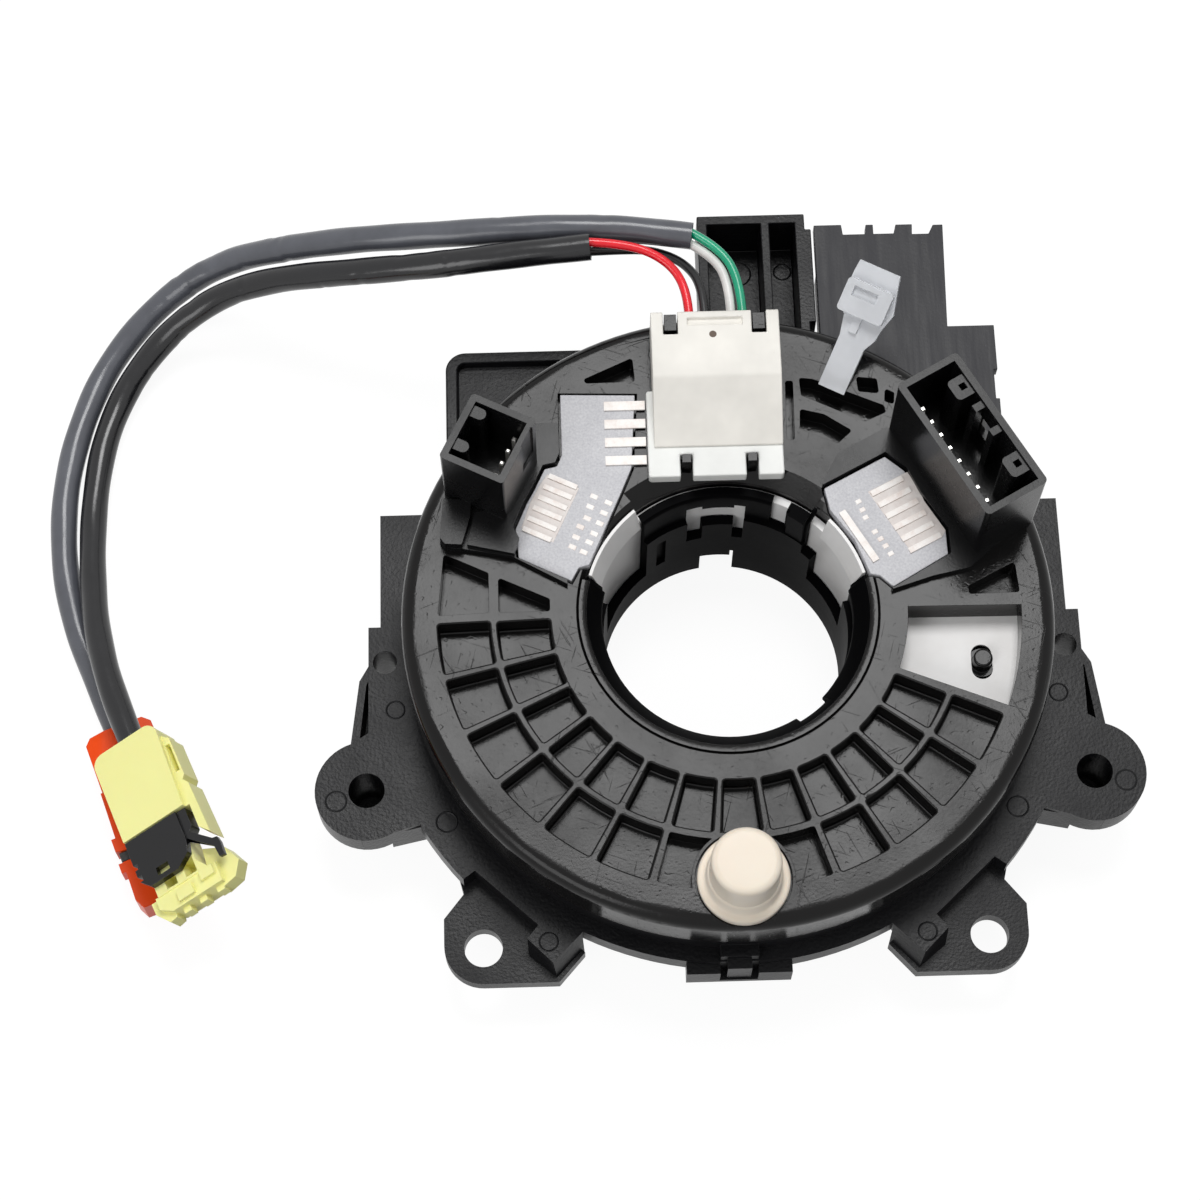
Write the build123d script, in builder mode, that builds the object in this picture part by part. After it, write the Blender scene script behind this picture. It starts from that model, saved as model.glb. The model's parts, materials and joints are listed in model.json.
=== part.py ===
"""Steering clock spring: the coiled-cable unit between a steering column and its wheel.

Millimetres, +Z up. The origin is on the rotor's axis, where the lower end of the
bore meets the plane that the unit rests on. X is to the right, Y to the back.
"""

import math
import os

from build123d import *

os.makedirs("parts", exist_ok=True)

# Levels above the resting plane
ledge_top = 15.6
ledge_thickness = 3.8
small_lug_top = 11.0
small_lug_thickness = 2.8
big_lug_thickness = 5.0
rotor_top = 30.0
rotor_disc_thickness = 5.0
lip_height = 8.0
socket_top = 46.0
cover_top = 37.4

# Clearances
running_gap = 0.3
side_gap = 0.4
film_gap = 0.35

# Rotor
rotor_radius = 50.0
lip_wall = 1.6
lip_round = 2.2
rotor_inner_radius = 22.3
rotor_inner_chamfer = 0.9
skirt_wall = 1.5
skirt_bottom = 16.6
pocket_depth = 3.5
pocket_outer_radius = 44.3
pocket_middle_radius = 35.85
pocket_inner_radius = 27.27
pocket_rib = 1.2
pocket_first_angle = 180.8
pocket_pitch_angle = 12.0
pocket_columns = 13
pocket_corner = 0.4

# Bore sleeve and liner
bore_radius = 19.0
sleeve_wall = 1.6
sleeve_ring_top = 20.0
sleeve_upper_radius = 19.8
sleeve_top = 29.2
liner_wall = 1.3
liner_bottom = 4.0
liner_top = 26.0
liner_tab_top = 29.4
left_window, right_window = (128, 164), (14, 43)

# Housing
ledge_radius = 55.8
front_radius = 51.7
flank_half_width = 54.0
shoulder_half_width = 55.9
big_lug_centre = (56.2, -22.8)
big_lug_radius = 8.0
big_lug_hole = 2.8
small_lug_centre = (38.7, -47.0)
small_lug_radius = 6.0
small_lug_hole = 2.95
flank_hole = 1.9
flank_hole_inset = 2.6
flank_hole_back = -1.9
lug_boss_radius = 4.2
flank_boss_radius = 2.6
case_radius = 44.0
case_wall = 2.0
drum_wall = 1.6
front_tab_half_width = 8.0
front_tab_bottom = 10.0
front_tab_depth = 1.3
front_window_half_width = 2.9

# Flat cable
cable_turns = 5
cable_thickness = 0.4
cable_width = 7.8

# Stopper pin
pin_centre = (0.4, -42.5)
pin_flange_radius = 6.9
pin_cap_radius = 5.0
pin_shank_radius = 3.0
pin_top = 40.0
pin_flange_thickness = 1.6

# Sockets
socket_wall = 1.1
socket_floor = 33.5
left_socket_centre = (-35.8, 22.4)
left_socket_size = (10.7, 11.6)
left_socket_angle = -26.7
right_socket_centre = (36.9, 21.2)
right_socket_size = (10.9, 24.9)
right_socket_angle = 29.3
contact_side = 0.64
contact_tip = 0.18
left_contact_height = 7.0
right_contact_height = 9.0
rear_contact_height = 4.0
left_contact_pitch = 2.2
right_contact_pitch = 2.5

# Airbag lead cover
cover_left, cover_right = -10.4, 9.6
cover_back, cover_front = 47.2, 26.2
cover_crease = 35.6
cover_wall = 1.5
lead_block_left = -11.4
lead_block_front = 21.3
lead_block_height = 2.2

# Cable sleeves and wires
sleeve_diameter = 4.3
wire_diameter = 1.45

# Sizes that follow from the ones above
ledge_bottom = ledge_top - ledge_thickness
disc_bottom = rotor_top - rotor_disc_thickness
lip_bottom = rotor_top - lip_height
lip_inner_radius = rotor_radius - lip_wall
skirt_radius = rotor_inner_radius + skirt_wall
base_bore_radius = skirt_radius + running_gap + 0.5
sleeve_radius = bore_radius + sleeve_wall
liner_inner_radius = sleeve_radius + 0.2
liner_radius = liner_inner_radius + liner_wall
case_inner_radius = liner_radius + running_gap + 0.3
drum_outer_radius = lip_inner_radius - side_gap
drum_inner_radius = drum_outer_radius - drum_wall
drum_band_radius = rotor_radius - 0.7
drum_band_top = lip_bottom - side_gap
front_tab_face = front_radius + front_tab_depth
flank_hole_centre = (shoulder_half_width - flank_hole_inset, flank_hole_back)
sheet_top = disc_bottom
sheet_thickness = 0.4
rear_top = lip_bottom - side_gap
rear_clear_radius = rotor_radius + side_gap
pin_pad_radius = pin_flange_radius + 0.3
pin_recess_depth = 0.8


def finish(piece, name):
    """Label a finished piece and write its file."""
    piece.part.label = name
    export_step(piece.part, f"parts/{name}.step")


def polar(radius, angle):
    """Point in the plane at a radius and an angle in degrees."""
    return (radius * math.cos(math.radians(angle)), radius * math.sin(math.radians(angle)))


def sector(inner, outer, start, end):
    """Add the face between two radii and two angles to the sketch in hand."""
    with BuildLine() as edge:
        CenterArc((0, 0), inner, start, end - start)
        CenterArc((0, 0), outer, start, end - start)
        Line(polar(inner, start), polar(outer, start))
        Line(polar(inner, end), polar(outer, end))
    make_face(edge.edges())


def outline(points, mode=Mode.ADD):
    """Add the face inside a closed row of points to the sketch in hand."""
    with BuildLine() as edge:
        Polyline(*points, close=True)
    make_face(edge.edges(), mode=mode)


def sided(points, side):
    """Same points, or their mirror image at the other side."""
    return [(side * x, y) for x, y in points]


def turned_plane(centre, angle, height):
    """Level plane at a height, with its X direction turned by an angle."""
    return Plane(origin=(*centre, height), x_dir=(*polar(1, angle), 0), z_dir=(0, 0, 1))


def upright_plane(angle):
    """Upright plane through the rotor's axis, with its X direction at an angle."""
    along = polar(1, angle)
    return Plane(origin=(0, 0, 0), x_dir=(*along, 0), z_dir=(along[1], -along[0], 0))


def route_radii(points):
    """Largest bend radius that each corner of a route has room for."""
    radii = []
    for before, corner, after in zip(points, points[1:], points[2:]):
        arrive = Vector(*corner) - Vector(*before)
        leave = Vector(*after) - Vector(*corner)
        turn = math.radians(arrive.get_angle(leave))
        radii.append(0.45 * min(arrive.length, leave.length) / math.tan(turn / 2))
    return radii


def tube(name, points, diameter):
    """Round tube along straight runs and tangent arcs, written under its name."""
    radii = route_radii(points)
    with BuildPart() as piece:
        with BuildLine() as path:
            FilletPolyline(*points, radius=radii)
        with BuildSketch(path.line ^ 0):
            Circle(diameter / 2)
        sweep()
    length = path.wire().length
    share = piece.part.volume / (math.pi * diameter**2 / 4 * length)
    print(name, "length", round(length, 1), "volume share", round(share, 4))
    print(name, "radii", [round(radius, 1) for radius in radii])
    finish(piece, name)


# Housing base: ledge, lugs, flanks, rear shelf and front window tab
rear_shelf_back = front_radius - 0.1
flank_outline = [(30, 23), (flank_half_width, 23), (flank_half_width, 4), (shoulder_half_width, 4)]
flank_outline += [(shoulder_half_width, -14), (40, -14)]
big_lug_neck = [(47.9, -28.4), (52.0, -29.6), (57.0, -30.8), (58.5, -15.1), (55.5, -13.2), (46, -12)]
wide_start, wide_end = 318, 346
ledge_corner = polar(ledge_radius, wide_start)
lug_edge = [ledge_corner, (39.7, -36.0), (30.2, -44.8), (31.9, -46.9)]
ledge_by_lug = [*lug_edge, (28.1, -50.7), (23.6, -46.2), (20, -40), (36, -30)]
lug_wall = [ledge_corner, (39.7, -36.0), (30.2, -44.8), (29.1, -43.6), (38.6, -34.6), (42.3, -35.6)]
block_top = [(31.9, -46.9), (28.1, -50.7), (23.6, -46.2), (28.0, -42.6)]
block_foot = [(31.7, -49.4), (27.2, -52.6), (23.2, -48.1), (28.0, -42.6)]
small_lug_outline = [(41.6, -38.4), (44.7, -42.3), (44.7, -52.6), (27.2, -52.6), (23.2, -48.1)]
small_lug_outline += [(28.0, -42.6), (38.6, -34.6), (42.3, -35.6)]
neck_web = [(46.0, -28.2), (52.6, -29.6), (52.6, -27.6), (46.0, -26.2)]
wing_outer = [(shoulder_half_width, -2.0), (57.4, -4.6), (58.8, -15.5)]

with BuildPart() as housing_base:
    with BuildSketch(Plane.XY.offset(ledge_bottom)):
        Circle(front_radius)
        sector(40, ledge_radius, wide_start, wide_end)
        outline(flank_outline)
        mirror(about=Plane.YZ)
        outline([(-16, 42), (-16, rear_shelf_back), (18, rear_shelf_back), (18, 42)])
        outline([(16, 40), (16, rear_shelf_back - 0.6), (45, rear_shelf_back - 0.6), (45, 30)])
    extrude(amount=ledge_thickness)
    # Bay at the back left that the sensor cover fills
    with BuildSketch(Plane.XY):
        outline([(-46, 24), (-46, 54), (-16.8, 54), (-16.8, 24)])
        Circle(rotor_radius + 0.5, mode=Mode.SUBTRACT)
    extrude(amount=rotor_top, mode=Mode.SUBTRACT)
    with BuildSketch(Plane.XY.offset(ledge_bottom)):
        outline(ledge_by_lug)
        mirror(about=Plane.YZ)
    extrude(amount=ledge_thickness)
    with BuildSketch(Plane.XY.offset(ledge_top)):
        with Locations(big_lug_centre):
            Circle(big_lug_radius)
        outline(big_lug_neck)
        mirror(about=Plane.YZ)
    extrude(amount=-big_lug_thickness)
    # Small lugs sit lower, joined to the ledge by a wall and a tapered block
    with BuildSketch(Plane.XY.offset(small_lug_top)) as small_lugs:
        outline(small_lug_outline)
        corner = small_lugs.vertices().sort_by(Axis.Y)[0:2].sort_by(Axis.X)[-1:]
        fillet(corner, small_lug_radius)
        mirror(about=Plane.YZ)
    extrude(amount=-small_lug_thickness)
    with BuildSketch(Plane.XY.offset(ledge_bottom)):
        outline(lug_wall)
        mirror(about=Plane.YZ)
    extrude(amount=small_lug_top - small_lug_thickness - ledge_bottom)
    for side in (-1, 1):
        with BuildSketch(Plane.XY.offset(ledge_top)):
            outline(sided(block_top, side))
        with BuildSketch(Plane.XY.offset(small_lug_top - small_lug_thickness)):
            outline(sided(block_foot, side))
        loft(ruled=True)
    # Hollow bosses under the big lugs and the flank holes, and a web under each neck
    with BuildSketch(Plane.XY.offset(1)):
        with Locations(big_lug_centre):
            Circle(lug_boss_radius)
        mirror(about=Plane.YZ)
    extrude(amount=ledge_bottom - 1)
    with BuildSketch(Plane.XY.offset(ledge_top - 11)):
        with Locations(flank_hole_centre):
            Circle(flank_boss_radius)
        mirror(about=Plane.YZ)
    extrude(amount=10)
    with BuildSketch(Plane.XY.offset(ledge_top - 8)):
        outline(neck_web)
        mirror(about=Plane.YZ)
    extrude(amount=7)
    # Flank walls reach down beside the case, and a thin wing runs on to each big lug
    with BuildSketch(Plane.XY.offset(ledge_bottom)):
        outline([(51.5, 23), (flank_half_width, 23), (flank_half_width, 4), (51.5, 4)])
        outline([(52.5, 4), (shoulder_half_width, 4), (shoulder_half_width, -2), (52.5, -2)])
        mirror(about=Plane.YZ)
    extrude(amount=-8)
    with BuildSketch(Plane.XY.offset(ledge_top - 1)):
        outline([*wing_outer, (57.5, -15.5), (56.3, -5.2), (54.6, -2.0)])
        mirror(about=Plane.YZ)
    extrude(amount=-8)
    with BuildSketch(Plane.XY.offset(ledge_top - 8)):
        outline([(54.6, -2.0), (56.3, -5.2), (57.5, -15.5), (50, -15.5), (50, -2)])
        mirror(about=Plane.YZ)
    extrude(amount=-1.4)
    # Front tab with the window that the drum's tongue snaps into
    with BuildSketch(Plane.XY.offset(front_tab_bottom)):
        with Locations((0, -(front_radius + front_tab_face) / 2 + 0.5)):
            Rectangle(2 * front_tab_half_width, front_tab_face - front_radius + 1)
    extrude(amount=ledge_top - 0.6 - front_tab_bottom)
    with BuildSketch(Plane.XY.offset(front_tab_bottom + 1)):
        with Locations((0, -front_tab_face)):
            Rectangle(2 * front_window_half_width, 2 * (front_tab_face - front_radius + 0.4))
    extrude(amount=ledge_top - front_tab_bottom, mode=Mode.SUBTRACT)
    # Holes: hub, lugs and flanks
    with BuildSketch(Plane.XY):
        Circle(base_bore_radius)
        for side in (-1, 1):
            with Locations((side * big_lug_centre[0], big_lug_centre[1])):
                Circle(big_lug_hole)
            with Locations((side * small_lug_centre[0], small_lug_centre[1])):
                Circle(small_lug_hole)
            with Locations((side * flank_hole_centre[0], flank_hole_centre[1])):
                Circle(flank_hole)
    extrude(amount=rotor_top, mode=Mode.SUBTRACT)
finish(housing_base, "housing_base")

# Lower case: shallow round tub that closes the housing from below
with BuildPart() as lower_case:
    with BuildSketch(Plane.XZ):
        with BuildLine():
            Polyline(
                (case_inner_radius, 0),
                (case_radius - 1, 0),
                (case_radius, 1),
                (case_radius, ledge_bottom),
                (case_radius - case_wall, ledge_bottom),
                (case_radius - case_wall, case_wall),
                (case_inner_radius + case_wall, case_wall),
                (case_inner_radius + case_wall, ledge_bottom),
                (case_inner_radius, ledge_bottom),
                close=True,
            )
        make_face()
    revolve(axis=Axis.Z)
finish(lower_case, "lower_case")

# Cable drum: outer wall of the cable chamber, with the front snap tongue
tongue_half_width = 1.85
tongue_face = front_tab_face - 0.3
snap_plate_face = front_radius - 0.6
with BuildPart() as cable_drum:
    with BuildSketch(Plane.XZ):
        with BuildLine():
            Polyline(
                (drum_inner_radius, ledge_top),
                (drum_band_radius, ledge_top),
                (drum_band_radius, drum_band_top),
                (drum_outer_radius, drum_band_top),
                (drum_outer_radius, disc_bottom - side_gap),
                (drum_inner_radius, disc_bottom - side_gap),
                close=True,
            )
        make_face()
    revolve(axis=Axis.Z)
    # Front snap: a wide plate on the band and a narrow tongue down the window
    with BuildSketch(Plane.XY.offset(ledge_top)):
        with Locations((0, -(drum_band_radius + snap_plate_face) / 2 + 0.5)):
            Rectangle(2 * front_window_half_width, snap_plate_face - drum_band_radius + 1)
    extrude(amount=2.2)
    with BuildSketch(Plane.XY.offset(ledge_top)):
        with Locations((0, -(drum_band_radius + tongue_face) / 2 + 0.5)):
            Rectangle(2 * tongue_half_width, tongue_face - drum_band_radius + 1)
    extrude(amount=1.0)
    with BuildSketch(Plane.XY.offset(ledge_top)):
        with Locations((0, -(front_radius + 0.2 + tongue_face) / 2)):
            Rectangle(2 * tongue_half_width, tongue_face - front_radius - 0.2)
    extrude(amount=front_tab_bottom + 0.4 - ledge_top)
finish(cable_drum, "cable_drum")

# Flat cable: spiral ribbon of half turns about two centres
cable_first_radius = skirt_radius + 1.2
cable_last_radius = drum_inner_radius - 1.0
cable_pitch = (cable_last_radius - cable_first_radius) / cable_turns
with BuildPart() as flat_cable:
    with BuildSketch(Plane.XY.offset(ledge_top)):
        for turn in range(cable_turns):
            first = cable_first_radius + turn * cable_pitch
            with Locations((0, 0)):
                sector(first - cable_thickness / 2, first + cable_thickness / 2, 0, 180)
            second = first + cable_pitch / 2
            with BuildLine():
                for edge in (-cable_thickness / 2, cable_thickness / 2):
                    CenterArc((cable_pitch / 2, 0), second + edge, 180, 180)
                for side in (-1, 1):
                    near = cable_pitch / 2 + side * (second - cable_thickness / 2)
                    Line((near, 0), (near + side * cable_thickness, 0))
            make_face()
    extrude(amount=cable_width)
finish(flat_cable, "flat_cable")

# Rear terminal box: open tray above, harness socket below
box_left, box_right = -1.7, 15.9
box_back = 72.2
box_wall = 1.6
box_floor = 10.2
box_rib = (8.7, 10.1)
shroud = (0.2, 52.5, 14.2, 71.0)
with BuildPart() as rear_terminal_box:
    with BuildSketch(Plane.XY.offset(box_floor)):
        outline([(box_left, 49), (box_left, box_back), (box_right, box_back), (box_right, 45)])
        Circle(rear_clear_radius, mode=Mode.SUBTRACT)
    extrude(amount=rear_top - box_floor)
    with BuildSketch(Plane.XY.offset(box_floor + 2)):
        for left, right in ((box_left + box_wall, box_rib[0]), (box_rib[1], box_right - box_wall)):
            outline([(left, 49), (left, box_back - box_wall), (right, box_back - box_wall), (right, 45)])
        Circle(rear_clear_radius + box_wall, mode=Mode.SUBTRACT)
    extrude(amount=rear_top, mode=Mode.SUBTRACT)
    with BuildSketch(Plane.XY.offset(box_floor)):
        outline([shroud[:2], (shroud[0], shroud[3]), shroud[2:], (shroud[2], shroud[1])])
    extrude(amount=-box_floor)
    with BuildSketch(Plane.XY):
        outline([shroud[:2], (shroud[0], shroud[3]), shroud[2:], (shroud[2], shroud[1])])
        offset(amount=-1.3, mode=Mode.REPLACE)
    extrude(amount=box_floor - 1.5, mode=Mode.SUBTRACT)
    with BuildSketch(Plane.XY.offset(box_floor)):
        outline([(box_left, 49), (box_left, box_back), (box_right, box_back), (box_right, 45)])
        Circle(front_radius + 0.5, mode=Mode.SUBTRACT)
        Circle(rear_clear_radius, mode=Mode.SUBTRACT)
    extrude(amount=1)
    with BuildSketch(Plane.XY.offset(rear_top)):
        with Locations((box_right + 0.4, (69.4 + 52.5) / 2)):
            Rectangle(1.2, 69.4 - 52.5)
    extrude(amount=-6)
    with BuildSketch(Plane.XY):
        Circle(front_radius + 0.3)
        outline([(-16, 42), (-16, rear_shelf_back + 0.2), (18, rear_shelf_back + 0.2), (18, 42)])
    extrude(amount=ledge_top + 0.3, mode=Mode.SUBTRACT)
finish(rear_terminal_box, "rear_terminal_box")

# Rear harness contacts: two rows standing in the shroud below the box
with BuildPart() as rear_contacts:
    shroud_centre = ((shroud[0] + shroud[2]) / 2, (shroud[1] + shroud[3]) / 2)
    with BuildSketch(Plane.XY.offset(box_floor - 1.5)):
        with Locations(shroud_centre):
            with GridLocations(right_contact_pitch * 1.4, right_contact_pitch, 2, 5):
                Rectangle(contact_side, contact_side)
    extrude(amount=-rear_contact_height)
finish(rear_contacts, "rear_contacts")

# Rear side block: notched plate on a deeper body, beside the terminal box
plate_outline = [(17.4, 70.0), (21.9, 70.0), (22.1, 68.2), (25.8, 68.2), (25.9, 69.9), (27.1, 69.9)]
plate_outline += [(27.1, 68.2), (30.4, 68.2), (30.8, 69.8), (33.5, 69.8), (33.4, 68.0), (36.1, 68.0)]
plate_outline += [(36.9, 69.6), (38.5, 69.6), (38.0, 51.1), (45.5, 51.1), (45.5, 43.2), (44.9, 43.2)]
plate_outline += [(44.9, 38.1), (45.5, 38.1), (45.5, 30.0), (17.4, 45.0)]
body_outline = [(18.4, 45), (18.4, 67.2), (37.2, 67.2), (37.2, 50.2), (44.2, 50.2), (44.2, 30)]
plate_thickness = 2.2
side_block_bottom = 6.0
with BuildPart() as rear_side_block:
    with BuildSketch(Plane.XY.offset(rear_top)):
        outline(plate_outline)
    extrude(amount=-plate_thickness)
    with BuildSketch(Plane.XY.offset(rear_top - plate_thickness)):
        outline(body_outline)
    extrude(amount=side_block_bottom + plate_thickness - rear_top)
    with BuildSketch(Plane.XY.offset(side_block_bottom)):
        outline([(20.2, 53.2), (20.2, 65.4), (35.4, 65.4), (35.4, 53.2)])
    extrude(amount=rear_top - plate_thickness - 2 - side_block_bottom, mode=Mode.SUBTRACT)
    with BuildSketch(Plane.XY):
        Circle(rear_clear_radius)
    extrude(amount=rotor_top, mode=Mode.SUBTRACT)
    with BuildSketch(Plane.XY):
        outline([(16, 30), (16, rear_shelf_back - 0.4), (45.2, rear_shelf_back - 0.4), (45.2, 28)])
        Circle(front_radius + 0.2)
    extrude(amount=ledge_top + 0.2, mode=Mode.SUBTRACT)
finish(rear_side_block, "rear_side_block")

# Sensor cover: shallow tray with a rounded raised rim at the back left
tray_left, tray_right, tray_back, tray_front = -43.3, -17.0, 51.2, 24.0
tray_rim = 1.9
tray_top = 16.2
tray_bottom = 8.0
tray_depth = 1.8
tray_corner = 3.2
tray_outline = [(tray_left, tray_front), (tray_left, tray_back)]
tray_outline += [(tray_right, tray_back), (tray_right, tray_front)]
with BuildPart() as sensor_cover:
    with BuildSketch(Plane.XY.offset(tray_bottom)) as tray:
        outline(tray_outline)
        fillet(tray.vertices().group_by(Axis.Y)[-1].sort_by(Axis.X)[0], tray_corner)
        Circle(rotor_radius + 0.7, mode=Mode.SUBTRACT)
    extrude(amount=tray_top - tray_bottom)
    with BuildSketch(Plane.XY.offset(tray_top)) as tray_inside:
        outline(tray_outline)
        fillet(tray_inside.vertices().group_by(Axis.Y)[-1].sort_by(Axis.X)[0], tray_corner)
        offset(amount=-tray_rim, mode=Mode.REPLACE)
    extrude(amount=-tray_depth, mode=Mode.SUBTRACT)
finish(sensor_cover, "sensor_cover")

# Rotor cover: ribbed disc with a rounded lip, pockets in two rows, slots and recesses
left_film = [(-24.8, 36.6), (-13.1, 36.2), (-14.0, 23.8), (-15.9, 19.3), (-21.0, 7.8), (-22.6, 7.4)]
left_film += [(-23.8, 5.2), (-31.8, 9.2), (-32.2, 14.0), (-30.4, 18.2), (-29.2, 20.4)]
left_film += [(-27.5, 24.0), (-25.6, 24.4), (-24.8, 26.2)]
right_film = [(15.7, 19.5), (25.4, 24.6), (28.3, 22.1), (30.2, 17.9), (34.0, 11.9), (34.1, 8.0)]
right_film += [(25.4, 2.9), (23.4, 4.8), (22.0, 5.1), (19.9, 10.8), (16.4, 15.9)]
film_thickness = 2.1
film_recess = 1.8
window_start, window_end = 338.2, 359.4
window_inner, window_outer = 27.4, 44.7
half_rib = pocket_rib / 2
upper_pockets = [
    [(-43.3, 10.3), (-36.5, 7.0), (-36.5, 0.5), (-44.3, 0.2)],
    [(-35.0, 6.2), (-27.2, 2.5), (-27.2, 0.5), (-35.0, 0.5)],
    [(36.9, 1.5), (44.6, 1.6), (44.2, 6.6), (36.8, 2.8)],
    [(-21.2, 39.2), (-13.3, 42.8), (-13.0, 38.7), (-20.6, 38.6)],
    [(12.8, 38.6), (15.0, 38.3), (25.8, 33.5), (26.1, 32.3), (22.7, 30.8), (13.0, 35.6)],
    [(12.7, 33.2), (16.4, 32.2), (20.6, 29.3), (18.3, 27.2), (12.5, 29.8)],
    [(21.8, 38.5), (25.0, 38.1), (25.2, 35.6), (22.0, 36.0)],
    [(26.2, 36.4), (27.6, 35.6), (27.4, 33.6), (26.0, 34.2)],
    [(10.6, 38.1), (11.8, 38.1), (11.6, 28.0), (10.4, 28.0)],
]
rear_funnel_start, rear_funnel_end = 50, 128
rear_funnel_radius = rotor_inner_radius + 2.6
rear_funnel_depth = 2.7
back_hooks = [(-8.3, -6.4), (5.5, 7.4)]
front_hooks = [(-6.2, -4.8), (4.0, 5.4)]


def is_pocket_edge(edge):
    """Upright edge of a pocket that stands clear of the pin's pad."""
    middle = edge.center()
    clear = math.dist((middle.X, middle.Y), pin_centre) > pin_pad_radius + 0.7
    return clear and abs(edge.length - pocket_depth) < 0.01


with BuildPart() as rotor_cover:
    with BuildSketch(Plane.XZ):
        with BuildLine():
            Polyline(
                (rotor_radius - lip_round, rotor_top),
                (rotor_inner_radius + rotor_inner_chamfer, rotor_top),
                (rotor_inner_radius, rotor_top - rotor_inner_chamfer),
                (rotor_inner_radius, skirt_bottom),
                (skirt_radius, skirt_bottom),
                (skirt_radius, disc_bottom),
                (lip_inner_radius, disc_bottom),
                (lip_inner_radius, lip_bottom),
                (rotor_radius, lip_bottom),
                (rotor_radius, rotor_top - lip_round),
            )
            CenterArc((rotor_radius - lip_round, rotor_top - lip_round), lip_round, 0, 90)
        make_face()
    revolve(axis=Axis.Z)
    with BuildSketch(Plane.XY.offset(rotor_top)):
        for column in range(pocket_columns):
            start = pocket_first_angle + column * pocket_pitch_angle
            for inner, outer in (
                (pocket_inner_radius, pocket_middle_radius - half_rib),
                (pocket_middle_radius + half_rib, pocket_outer_radius),
            ):
                margin = math.degrees(half_rib / ((inner + outer) / 2))
                sector(inner, outer, start + margin, start + pocket_pitch_angle - margin)
        with Locations(pin_centre):
            Circle(pin_pad_radius + 0.5, mode=Mode.SUBTRACT)
        for points in upper_pockets:
            outline(points)
    extrude(amount=-pocket_depth, mode=Mode.SUBTRACT)
    fillet(rotor_cover.edges().filter_by(Axis.Z).filter_by(is_pocket_edge), pocket_corner)
    # Funnel that widens the rear of the bore in front of the lead cover
    with BuildSketch(upright_plane(rear_funnel_start)):
        outline(
            [
                (rotor_inner_radius - 1, rotor_top + 1),
                (rotor_inner_radius - 1, rotor_top - rear_funnel_depth),
                (rotor_inner_radius, rotor_top - rear_funnel_depth),
                (rear_funnel_radius, rotor_top),
                (rear_funnel_radius, rotor_top + 1),
            ]
        )
    revolve(axis=Axis.Z, revolution_arc=rear_funnel_end - rear_funnel_start, mode=Mode.SUBTRACT)
    with BuildSketch(Plane.XY.offset(rotor_top)):
        sector(window_inner, window_outer, window_start, window_end)
        with Locations(pin_centre):
            Circle(pin_shank_radius + running_gap)
    extrude(amount=-rotor_top, mode=Mode.SUBTRACT)
    with BuildSketch(Plane.XY.offset(rotor_top)):
        with Locations(pin_centre):
            Circle(pin_pad_radius)
    extrude(amount=-pin_recess_depth, mode=Mode.SUBTRACT)
    for film in (left_film, right_film):
        with BuildSketch(Plane.XY.offset(rotor_top)):
            outline(film)
            offset(amount=film_gap, kind=Kind.INTERSECTION, mode=Mode.REPLACE)
        extrude(amount=-film_recess, mode=Mode.SUBTRACT)
    # Snap hooks that hold the airbag lead cover at its back and front
    with BuildSketch(Plane.XY.offset(rotor_top - 1.5)):
        for left, right in back_hooks:
            with Locations(((left + right) / 2, 45.4)):
                Rectangle(right - left, 2.8)
    extrude(amount=cover_top - 0.5 - rotor_top + 1.5)
    with BuildSketch(Plane.XY.offset(rotor_top - 3)):
        for left, right in front_hooks:
            with Locations(((left + right) / 2, 24.0)):
                Rectangle(right - left, 1.4)
    extrude(amount=lead_block_height + 3.8)
finish(rotor_cover, "rotor_cover")

# Bore sleeve: ring below, thinner wall with a funnel rim above, and its cut-outs
sleeve_rim_radius = rotor_inner_radius - running_gap
sleeve_funnel_bottom = liner_top + 0.6
with BuildPart() as bore_sleeve:
    with BuildSketch(Plane.XZ):
        with BuildLine():
            Polyline(
                (bore_radius, 0),
                (sleeve_radius, 0),
                (sleeve_radius, sleeve_funnel_bottom - 0.3),
                (sleeve_rim_radius, sleeve_funnel_bottom + 1.1),
                (sleeve_rim_radius, sleeve_top),
                (sleeve_rim_radius - 0.4, sleeve_top),
                (sleeve_upper_radius, sleeve_funnel_bottom),
                (sleeve_upper_radius, sleeve_ring_top),
                (bore_radius, sleeve_ring_top),
                close=True,
            )
        make_face()
    revolve(axis=Axis.Z)
    with BuildSketch(Plane.XY.offset(sleeve_ring_top - 0.5)):
        sector(bore_radius + 0.2, sleeve_radius, 49.5, 58.5)
    extrude(amount=sleeve_top - sleeve_ring_top)
    for start, end, low, high in (
        (79, 84, 13, 24),
        (98.5, 106, 13, 24),
        (83, 99, 18, 23),
        (60, 67.5, 20, sleeve_top),
        (*left_window, 7, sleeve_top),
        (*right_window, 9, sleeve_top),
        (right_window[1] - 1, 48.5, 17, sleeve_top),
        (82.4, 98.5, 0, 5.2),
        (82.4, 84.0, 0, 7.2),
        (300, 316, 24, sleeve_top),
        (rear_funnel_start, rear_funnel_end, sleeve_top - 2, sleeve_top),
    ):
        with BuildSketch(Plane.XY.offset(low)):
            sector(bore_radius - 1, sleeve_rim_radius + 1, start, end)
        extrude(amount=high - low, mode=Mode.SUBTRACT)
    # Shallow catch recess at the left of the ring
    with BuildSketch(Plane.XY.offset(8)):
        sector(bore_radius - 1, bore_radius + 0.8, 117, 122)
    extrude(amount=9, mode=Mode.SUBTRACT)
finish(bore_sleeve, "bore_sleeve")

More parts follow.
